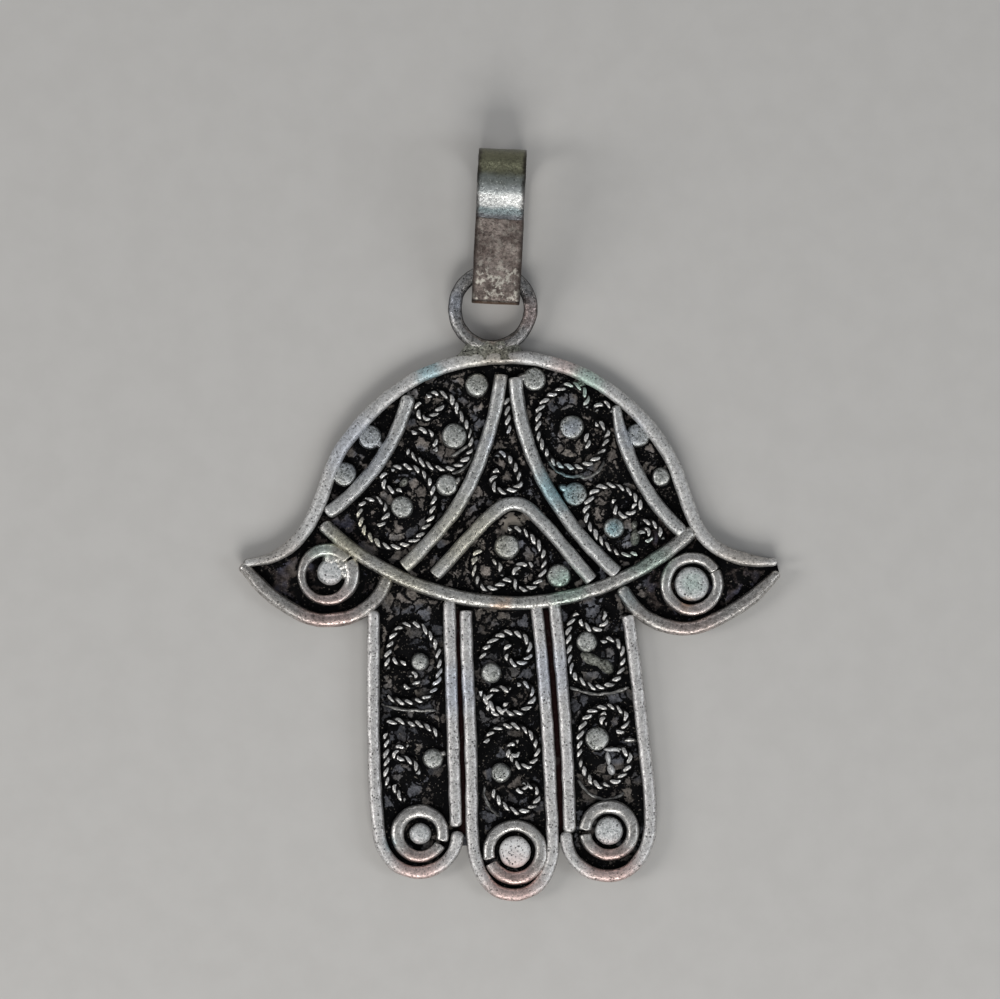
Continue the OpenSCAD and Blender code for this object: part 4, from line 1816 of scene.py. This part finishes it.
@dataclass(frozen=True)
class BackingSheet:
    """The sheet that everything is soldered on, with a flaky blackened face.

    Its webs are in shares of the hand: corners of the palm's, and the left and right edge and lower end
    of each that joins two fingers. The rest is in millimetres. A gap's line has its upper and its lower
    place across, and a bare spot its place, its reach and its strength. Patina flakes off the face where
    there is room for it, and its rows of waves have their share and how many there are to a millimetre.
    """

    cell: float = 0.17
    spacing: float = 0.15
    rim_spacing: float = 0.05
    round_spots: int = 60
    relief: float = 0.05
    flakes_from: float = 0.1
    flakes_full: float = 0.4
    ragged: tuple[float, float] = (0.35, 0.9)
    waves: tuple[Row, ...] = ((0.4, 3.1), (0.3, 1.2))
    palm_web: tuple[Row, ...] = (
        (-0.525, -0.1), (-0.515, -0.02), (-0.44, 0.09), (0.41, 0.06), (0.455, -0.03), (0.463, -0.1),
    )
    finger_webs: tuple[Row, ...] = ((-0.225, -0.15, -0.83), (0.11, 0.21, -0.82))
    most_room: float = 2.0
    gap_half: float = 0.5
    gap_reach: float = 16.5
    gap_from: float = 0.04
    gap_strength: float = 0.8
    gap_lines: tuple[Row, ...] = ((-3.78, -3.2), (2.6, 3.72))
    bare_spots: tuple[Row, ...] = (
        (0.1, 5.6, 1.0, 0.95),
        (-7.8, -3.5, 0.7, 0.5),
        (-7.2, -6.3, 0.8, 0.5),
        (-15.2, 2.4, 0.9, 0.3),
        (-9.0, 10.8, 0.7, 0.3),
        (-6.2, 9.3, 0.8, 0.3),
        (6.6, 15.0, 0.8, 0.3),
        (-10.1, 3.9, 0.9, 0.3),
    )

    def outlines(self, wires: Wires) -> list[Outline]:
        """Returns the outlines whose union is the sheet, traced just outside the wires.

        Args:
            wires: the wires on it.

        Returns:
            The outlines.
        """
        runs = {run.name: PLAN.route(run.rows) for run in wires.runs()}
        lip = PLAN.sheet_lip

        def outline(*parts: tuple[str, float]) -> list[Vector]:
            """Returns traces joined end to end; those after the first run backwards.

            Args:
                parts: each wire's name, and how far beside it the trace runs.

            Returns:
                The corners in order.
            """
            traced = runs[parts[0][0]].trace(parts[0][1])
            for name, aside in parts[1:]:
                traced += runs[name].trace(aside)[::-1]
            return traced

        made = [
            outline(("rim_wire", lip), ("thumb_wire_right", -lip), ("thumb_wire_left", -lip)),
            outline(("finger_wire_left", -lip), ("finger_bar_left", lip)),
            runs["finger_wire_middle"].trace(-lip),
            outline(("finger_wire_right", lip), ("finger_bar_right", -lip)),
            [PLAN.place(*row) for row in self.palm_web],
        ]
        for left, right, low in self.finger_webs:
            made.append([PLAN.place(*row) for row in ((left, low), (right, low), (right, 0), (left, 0))])
        return [Outline(corners) for corners in made]

    def grid(self, outlines: list[Outline]) -> Mesh:
        """Returns a fine net cut to the outlines, with its rim drawn onto them.

        Args:
            outlines: the outlines whose union is the sheet.

        Returns:
            The net.
        """
        corners = [p for outline in outlines for p in outline.corners]
        low = Vector((min(p.x for p in corners), min(p.y for p in corners)))
        high = Vector((max(p.x for p in corners), max(p.y for p in corners)))
        size, middle = high - low, (low + high) / 2
        bm = bmesh.new()
        fit = Matrix.Translation((*middle, PLAN.sheet_t)) @ Matrix.Diagonal((size.x / 2, size.y / 2, 1, 1))
        bmesh.ops.create_grid(bm, x_segments=round(size.x / self.cell), y_segments=round(size.y / self.cell),
                              size=1, matrix=fit)
        outside = [v for v in bm.verts if not any(outline.holds(v.co) for outline in outlines)]
        bmesh.ops.delete(bm, geom=outside, context="VERTS")
        bmesh.ops.delete(bm, geom=[v for v in bm.verts if not v.link_faces], context="VERTS")
        self.draw_rim(bm, outlines)
        return bm

    def draw_rim(self, bm: Mesh, outlines: list[Outline]) -> None:
        """Moves the net's rim onto the nearest spot of the united outline.

        Args:
            bm: the net.
            outlines: the outlines whose union is the sheet.
        """
        spots = []
        for outline in outlines:
            others = [o for o in outlines if o is not outline]
            spots += [s for s in outline.walk(self.rim_spacing) if not any(o.holds(s) for o in others)]
        tree = tree_of(spots)
        for v in bm.verts:
            if v.is_boundary:
                found = tree.find((v.co.x, v.co.y, 0))[0]
                v.co.x, v.co.y = found.x, found.y

    def measure_room(self, bm: Mesh, wires: Wires, eyes: EyeRings, granules: Granules,
                     scrolls: Scrolls) -> None:
        """Writes each vertex's room to the next thing on the sheet, and its shares of gap and bare metal.

        Args:
            bm: the net.
            wires: the wires on it.
            eyes: the eyes.
            granules: the granules.
            scrolls: the scrolls.
        """
        lines: list[tuple[Vector, float]] = []
        for run in wires.runs():
            lines += [(p, run.stock.diameter / 2) for p in PLAN.route(run.rows).trace(0, self.spacing)]
        for rows in [rows for panel in scrolls.panels for rows in panel.rows]:
            lines += [(p, scrolls.strand_r + scrolls.apart) for p in Route(rows).trace(0, self.spacing)]
        for eye in eyes.eyes:
            centre = Vector((eye.x, eye.y))
            turns = [math.tau * k / self.round_spots for k in range(self.round_spots)]
            lines += [(centre + eye.middle_r * unit(turn), eye.wire_d / 2) for turn in turns]
        rounds = [Vector(row) for panel in granules.panels for row in panel.rows]
        rounds += [Vector((e.x + e.bead_x, e.y + e.bead_y, e.bead_r)) for e in eyes.eyes]
        tree = tree_of([place for place, _ in lines])
        room, gap, bare = (bm.verts.layers.float.new(layer.value) for layer in SheetMap)
        for v in bm.verts:
            _, index, distance = tree.find((v.co.x, v.co.y, 0))
            beads = min((v.co.xy - r.xy).length - r.z for r in rounds)
            v[room] = max(0.0, min(distance - lines[index][1], beads, self.most_room))
            down = -v.co.y / self.gap_reach
            off = min(abs(v.co.x - top - down * (low - top)) for top, low in self.gap_lines)
            v[gap] = self.gap_strength if off < self.gap_half and self.gap_from < down < 1 else 0.0
            v[bare] = max(
                strength * smooth_share(math.hypot(v.co.x - x, v.co.y - y), reach, 0.4 * reach)
                for x, y, reach, strength in self.bare_spots
            )

    def build(self, maker: Maker, wires: Wires, eyes: EyeRings, granules: Granules, scrolls: Scrolls) -> None:
        """Makes the sheet: a net with low relief on its face, and a plain back.

        Args:
            maker: makes the piece.
            wires: the wires on it.
            eyes: the eyes.
            granules: the granules.
            scrolls: the scrolls.
        """
        bm = self.grid(self.outlines(wires))
        self.measure_room(bm, wires, eyes, granules, scrolls)
        room = bm.verts.layers.float[SheetMap.ROOM.value]
        grown = bmesh.ops.extrude_face_region(bm, geom=list(bm.faces), use_keep_orig=True)["geom"]
        top = only(grown, Vert)
        lifted = set(top)
        bottom = [v for v in bm.verts if v not in lifted]
        bmesh.ops.translate(bm, verts=bottom, vec=(0, 0, -PLAN.sheet_t))
        share, scale = self.ragged
        for v in top:
            ragged = v[room] + share * noise.noise(v.co * scale)
            rise = smooth_share(ragged, self.flakes_from, self.flakes_full)
            fine = sum(part * noise.noise(v.co * many) for part, many in self.waves)
            v.co.z += self.relief * (rise - 1 + fine)
        bmesh.ops.recalc_face_normals(bm, faces=bm.faces)
        for face in bm.faces:
            face.material_index = 0 if face.normal.z > 0.3 else 1
        maker.piece(bm, "backing_sheet", Slot.SHEET, SHEET_FACE, SHEET_BACK)


@dataclass(frozen=True)
class Blob:
    """A drop of solder: its place, half length, half width, top height and turn in degrees."""

    x: float
    y: float
    long: float
    wide: float
    top: float
    turn: float


@dataclass(frozen=True)
class Solder:
    """Spilt solder on the face: drops on the sheet, necks between beads and wires, and thin ridges."""

    drops: tuple[Blob, ...] = (
        Blob(8.9, 4.6, 0.62, 0.34, 1.05, 85),
        Blob(8.85, 5.5, 0.35, 0.26, 0.98, 80),
        Blob(5.8, -4.1, 0.9, 0.42, 0.82, -25),
        Blob(6.8, -4.6, 0.7, 0.45, 0.9, -35),
        Blob(-7.6, 8.55, 0.4, 0.3, 1.0, 40),
        Blob(4.95, 15.55, 0.5, 0.3, 1.0, 10),
    )
    bright_drops: tuple[Blob, ...] = (
        Blob(7.0, -11.2, 0.5, 0.19, 1.05, 98),
        Blob(7.2, -12.0, 0.45, 0.27, 1.08, 104),
        Blob(7.4, -10.55, 0.8, 0.17, 1.02, 2),
        Blob(-2.6, 3.0, 0.24, 0.2, 1.0, 40),
    )
    necks: tuple[Blob, ...] = (
        Blob(3.85, 8.1, 0.5, 0.34, 1.12, 150),
        Blob(-3.8, 8.6, 0.45, 0.26, 1.1, 60),
        Blob(0.95, 16.05, 0.5, 0.34, 1.1, 0),
        Blob(-10.65, 12.4, 0.5, 0.45, 1.12, 130),
        Blob(-12.35, 9.6, 0.5, 0.45, 1.12, 125),
        Blob(-9.4, 11.3, 0.4, 0.3, 1.1, 130),
        Blob(8.45, 12.0, 0.4, 0.34, 1.12, 170),
        Blob(-12.85, 3.1, 0.7, 0.6, 1.3, 80),
        Blob(-12.4, 3.15, 0.65, 0.55, 1.3, 20),
        Blob(-12.0, 2.65, 0.65, 0.6, 1.32, 36),
        Blob(-11.85, 2.1, 0.5, 0.42, 1.3, 90),
        Blob(-4.85, -10.85, 0.4, 0.22, 1.0, 0),
        Blob(8.55, -9.9, 0.5, 0.2, 0.98, 0),
    )
    ridges: tuple[tuple[Row, ...], ...] = (
        ((4.5, -6.2), (6.2, -6.6), (8.2, -6.2)),
        ((2.8, 10.0), (3.6, 9.2), (4.9, 8.95)),
        ((4.9, 8.95), (6.0, 9.1), (6.6, 9.9)),
        ((-4.0, 10.5), (-3.4, 10.9), (-2.9, 11.3)),
        ((-3.9, 9.25), (-3.1, 9.7), (-2.75, 10.5)),
        ((-1.9, -13.4), (-1.7, -14.3), (-1.0, -15.2)),
        ((-8.9, -7.4), (-7.2, -7.75), (-5.6, -7.75)),
        ((5.0, -13.0), (6.2, -14.0), (7.9, -13.8)),
    )
    ridge_d: float = 0.24
    ridge_rise: float = 0.03
    bedded: float = 0.3
    worn: float = 0.1
    uneven: Unevenness = Unevenness(((0.07, 0.6, 0),))
    ridge_uneven: Unevenness = Unevenness(((0.1, 0.5, 4),))

    def blobs(self, rows: Sequence[Blob], seed: float) -> Mesh:
        """Returns drops flattened on the sheet.

        Args:
            rows: the drops.
            seed: shifts their unevenness.

        Returns:
            The drops' mesh.
        """
        bm = bmesh.new()
        for i, blob in enumerate(rows):
            verts = bmesh.ops.create_uvsphere(bm, u_segments=20, v_segments=12, radius=1)["verts"]
            base = PLAN.sheet_t - PLAN.wire_bed
            size = Matrix.Diagonal((blob.long, blob.wide, blob.top - base, 1))
            turned = Matrix.Rotation(math.radians(blob.turn), 4, "Z") @ size
            bmesh.ops.transform(bm, matrix=Matrix.Translation((blob.x, blob.y, base)) @ turned, verts=verts)
            self.uneven.add_to(verts, seed + i)
            rub_down(verts, blob.top - self.worn)
            for v in verts:
                v.co.z = max(v.co.z, PLAN.sheet_t - self.bedded)
        return bm

    def build(self, maker: Maker) -> None:
        """Makes the drops, the necks and the ridges.

        Args:
            maker: makes the pieces.
        """
        for name, rows, seed, finish in (
            ("solder_drops", self.drops, 1.7, SOLDER_GREY),
            ("solder_bright_drops", self.bright_drops, 6.3, BRIGHT_SOLDER),
            ("solder_necks", self.necks, 9.1, WIRE_SILVER),
        ):
            maker.piece(self.blobs(rows, seed), name, Slot.SOLDER, finish)
        height = PLAN.sheet_t + self.ridge_rise
        ends = WireEnd.TAPERED.twice
        bm = joined(tube_along(Route(rows), self.ridge_d, height, ends, 0.2, 8) for rows in self.ridges)
        self.ridge_uneven.add_to(bm.verts)
        maker.piece(bm, "solder_ridges", Slot.SOLDER, RIDGE_GREY)


@dataclass(frozen=True)
class HangingRing:
    """The ring over the dome and the flared solder foot that holds it to the rim, in millimetres.

    The foot's top lies a share of the ring's middle radius below the ring's middle.
    """

    wire_d: float = 0.98
    worn: float = 0.07
    foot_half_w: float = 2.95
    foot_half_t: float = 0.5
    waist_half_w: float = 1.8
    foot_top_drop: float = 0.855
    foot_bottom: float = -0.2
    foot_steps: int = 9
    foot_flare: float = 1.6
    uneven: Unevenness = Unevenness(((0.05, 1.3, 2), (0.03, 0.4, 5)))
    foot_uneven: Unevenness = Unevenness(((0.16, 0.6, 3),))

    def ring(self) -> Mesh:
        """Returns the ring, spun a full turn from a round section.

        Returns:
            The ring's mesh.
        """
        bm = bmesh.new()
        centre = PLAN.ring_at
        section = bmesh.ops.create_circle(bm, segments=20, radius=self.wire_d / 2)["verts"]
        out = Matrix.Translation((centre.x + PLAN.ring_mid_r, centre.y, PLAN.ring_z))
        bmesh.ops.transform(bm, matrix=out @ Matrix.Rotation(math.pi / 2, 4, "X"), verts=section)
        whole = [*section, *edges_of(section)]
        spun(bm, whole, (*centre, PLAN.ring_z), (0, 0, 1), math.tau, 96, closed=True)
        self.uneven.add_to(bm.verts)
        rub_down(bm.verts, PLAN.ring_z + self.wire_d / 2 - self.worn)
        bmesh.ops.recalc_face_normals(bm, faces=bm.faces)
        return bm

    def foot(self) -> Mesh:
        """Returns the flared solder: an oval section drawn up from the rim and narrowed to the ring.

        Returns:
            The foot's mesh.
        """
        bm = bmesh.new()
        centre = PLAN.ring_at
        low = PLAN.palm_h + self.foot_bottom
        rise = centre.y - PLAN.ring_mid_r * self.foot_top_drop - low
        section = bmesh.ops.create_circle(bm, cap_ends=True, segments=28, radius=1)["verts"]
        size = Matrix.Diagonal((self.foot_half_w, 1, self.foot_half_t, 1))
        stand = Matrix.Translation((centre.x, low, PLAN.ring_z)) @ size @ Matrix.Rotation(math.pi / 2, 4, "X")
        bmesh.ops.transform(bm, matrix=stand, verts=section)
        ring = edges_of(section)
        width = self.foot_half_w
        for step in range(1, self.foot_steps + 1):
            made = bmesh.ops.extrude_edge_only(bm, edges=ring)["geom"]
            verts = only(made, Vert)
            bmesh.ops.translate(bm, verts=verts, vec=(0, rise / self.foot_steps, 0))
            share = (1 - step / self.foot_steps) ** self.foot_flare
            wanted = self.waist_half_w + (self.foot_half_w - self.waist_half_w) * share
            at = Matrix.Translation((-centre.x, 0, 0))
            bmesh.ops.scale(bm, verts=verts, vec=(wanted / width, 1, 1), space=at)
            width = wanted
            ring = edges_of(verts)
        bmesh.ops.contextual_create(bm, geom=ring)
        self.foot_uneven.add_to(bm.verts)
        bmesh.ops.recalc_face_normals(bm, faces=bm.faces)
        return bm

    def build(self, maker: Maker) -> None:
        """Makes the ring and its solder foot."""
        maker.piece(self.ring(), "hanging_ring", Slot.HAND, RING_SILVER)
        maker.piece(self.foot(), "solder_foot", Slot.SOLDER, SOLDER_GREY)


@dataclass(frozen=True)
class Bail:
    """One strip folded round the hanging ring, in millimetres and degrees.

    It is drawn in its side view first, with the middle of the hanging ring at Y 0.
    """

    length: float = 11.0
    width: float = 3.42
    thickness: float = 0.35
    loop_r: float = 2.65
    end_r: float = 1.7
    lip: float = 1.1
    end_at: float = 0.3
    lean: float = 2.8
    aside: float = 0.19
    tuck: float = 35.0
    step: float = 0.2
    rows_across: int = 14
    soft_edge: float = 0.07
    uneven: Unevenness = Unevenness(((0.05, 1.6, 6), (0.010, 0.45, 8)))

    def side_view(self, bm: Mesh) -> list[Edge]:
        """Draws the strip's outer face from the side, from its cut end round the loop and back under it.

        Args:
            bm: the mesh that gets the line, in the plane of Y along the bail and Z up.

        Returns:
            The edges of the line.
        """
        loop = Vector((self.end_at + self.length - self.loop_r, self.loop_r))
        end = Vector((self.end_at + self.end_r, self.end_r))
        run = loop.x - end.x
        slope = 2 * math.atan((self.loop_r - self.end_r) / run)
        upright = slope + math.pi / 2
        start = end + self.end_r * unit(upright) - self.lip * unit(slope)
        front = (loop + self.loop_r * unit(upright) - start).length
        tip = bmesh.ops.create_vert(bm, co=(0, *start))["vert"]
        tip = self.straight(bm, tip, Vector((0, *unit(slope))), front)
        tip = self.round(bm, tip, loop, math.pi + slope)
        tip = self.straight(bm, tip, Vector((0, -1, 0)), run)
        self.round(bm, tip, end, math.pi - slope - math.radians(self.tuck))
        return list(bm.edges)

    def straight(self, bm: Mesh, tip: list[Vert], way: Vector, length: float) -> list[Vert]:
        """Draws the line straight on and returns its new tip.

        Args:
            bm: the mesh.
            tip: the line's tip.
            way: the way on.
            length: how far it goes on.

        Returns:
            The new tip.
        """
        steps = math.ceil(length / self.step)
        for _ in range(steps):
            made = bmesh.ops.extrude_vert_indiv(bm, verts=tip)["verts"]
            bmesh.ops.translate(bm, verts=made, vec=way * (length / steps))
            tip = made
        return tip

    def round(self, bm: Mesh, tip: list[Vert], centre: Vector, turn: float) -> list[Vert]:
        """Draws the line round a centre and returns its new tip.

        Args:
            bm: the mesh.
            tip: the line's tip.
            centre: the centre in Y and Z.
            turn: the angle in radians.

        Returns:
            The new tip.
        """
        radius = (tip[0].co.yz - centre).length
        steps = math.ceil(radius * turn / self.step)
        return only(spun(bm, tip, (0, *centre), (-1, 0, 0), turn, steps), Vert)

    def strip(self) -> Mesh:
        """Returns the strip: the side view drawn across its width, thickened, with softened edges.

        Returns:
            The strip's mesh.
        """
        bm = bmesh.new()
        line = self.side_view(bm)
        bmesh.ops.translate(bm, verts=bm.verts, vec=(-self.width / 2, 0, 0))
        for _ in range(self.rows_across):
            made = bmesh.ops.extrude_edge_only(bm, edges=line)["geom"]
            verts = only(made, Vert)
            bmesh.ops.translate(bm, verts=verts, vec=(self.width / self.rows_across, 0, 0))
            line = edges_of(verts)
        bmesh.ops.recalc_face_normals(bm, faces=bm.faces)
        facing = sum(f.normal.z for f in bm.faces if f.calc_center_median().z > self.end_r)
        if facing < 0:
            bmesh.ops.reverse_faces(bm, faces=bm.faces)
        bmesh.ops.solidify(bm, geom=bm.faces, thickness=self.thickness)
        bmesh.ops.recalc_face_normals(bm, faces=bm.faces)
        corners = [e for e in bm.edges if len(e.link_faces) == 2 and e.calc_face_angle() > math.radians(60)]
        bmesh.ops.bevel(bm, geom=corners, offset=self.soft_edge, segments=2, affect="EDGES", profile=0.5,
                        material=-1)
        self.uneven.add_to(bm.verts)
        for v in bm.verts:
            v.co.z = max(v.co.z, 0.0)
        return bm

    def build(self, maker: Maker) -> None:
        """Makes the bail and sets it on the hanging ring.

        Args:
            maker: makes the piece.
        """
        bm = self.strip()
        at = PLAN.ring_at + Vector((self.aside, 0))
        lean = Matrix.Rotation(-math.radians(self.lean), 4, "Z")
        bmesh.ops.transform(bm, matrix=Matrix.Translation((*at, 0)) @ lean, verts=bm.verts)
        middle = (at.x + SHIFT.x, at.y + SHIFT.y)
        finish = StripSilver("bail_strip_silver", middle, self.lean, self.width / 2)
        maker.piece(bm, "bail_strip", Slot.BAIL, finish)


@dataclass(frozen=True)
class Lamp:
    """A soft rectangular light that faces the pendant: its name, place, size, power in watts and colour."""

    name: str
    place: Row
    size: tuple[float, float]
    power: float
    colour: Colour

    def build(self) -> None:
        """Makes the light."""
        data = bpy.data.lights.new(self.name, "AREA")
        data.shape = "RECTANGLE"
        data.size, data.size_y = self.size
        data.energy = self.power
        data.color = self.colour
        made = added(self.name, data)
        made.location = self.place
        made.rotation_euler = Vector(self.place).to_track_quat("Z", "Y").to_euler()


@dataclass(frozen=True)
class Studio:
    """Camera straight above the pendant, pale floor, low front light, weaker ones and a sky, in metres."""

    look_at: Row = (-0.00075, 0.0018, 0.0012)
    distance: float = 0.36
    view_width: float = 0.0714
    sensor: float = 36.0
    clip_start: float = 0.01
    floor_size: float = 1.2
    sky: float = 0.23
    sky_colour: Colour = (0.92, 0.95, 1.0)
    lamps: tuple[Lamp, ...] = (
        Lamp("front_light", (0.01, -0.30, 0.26), (0.22, 0.20), 0.72, (1.0, 0.985, 0.96)),
        Lamp("right_light", (0.32, -0.08, 0.22), (0.12, 0.20), 0.26, (0.94, 0.97, 1.0)),
        Lamp("left_light", (-0.32, -0.04, 0.22), (0.12, 0.20), 0.40, (1.0, 0.98, 0.96)),
        Lamp("back_light", (-0.05, 0.36, 0.16), (0.14, 0.14), 0.08, (1.0, 1.0, 1.0)),
    )

    def camera(self) -> None:
        """Makes the camera that the photograph's view needs."""
        data = bpy.data.cameras.new("camera")
        data.sensor_width = self.sensor
        data.lens = self.sensor * self.distance / self.view_width
        data.clip_start = self.clip_start
        made = added("camera", data)
        x, y, z = self.look_at
        made.location = (x, y, z + self.distance)
        bpy.context.scene.camera = made

    def floor(self) -> None:
        """Makes the floor that the pendant lies on."""
        bm = bmesh.new()
        bmesh.ops.create_grid(bm, x_segments=1, y_segments=1, size=self.floor_size / 2)
        made = shown(bm, "floor", [PaleFloor()])

    def light(self) -> None:
        """Makes the lamps and the sky."""
        for lamp in self.lamps:
            lamp.build()
        world = bpy.data.worlds.new("sky")
        world.use_nodes = True
        background = world.node_tree.nodes["Background"]
        background.inputs["Color"].default_value = (*self.sky_colour, 1.0)
        background.inputs["Strength"].default_value = self.sky
        bpy.context.scene.world = world
        bpy.context.scene.view_settings.view_transform = "Standard"

    def build(self) -> None:
        """Makes the whole studio."""
        self.camera()
        self.floor()
        self.light()


def main() -> None:
    """Builds the pendant part by part, and then the studio."""
    logging.basicConfig(level=logging.INFO, format="%(relativeCreated)7d ms %(message)s")
    noise.seed_set(NOISE_SEED)
    hand = Maker(Body.HAND, Node.HAND)
    wires, eyes, granules, scrolls = Wires(), EyeRings(), Granules(), Scrolls()
    BackingSheet().build(hand, wires, eyes, granules, scrolls)
    wires.build(hand)
    eyes.build(hand)
    granules.build(hand)
    scrolls.build(hand)
    Solder().build(hand)
    HangingRing().build(hand)
    Bail().build(Maker(Body.BAIL, Node.BAIL))
    Studio().build()


if __name__ == "__main__":
    main()
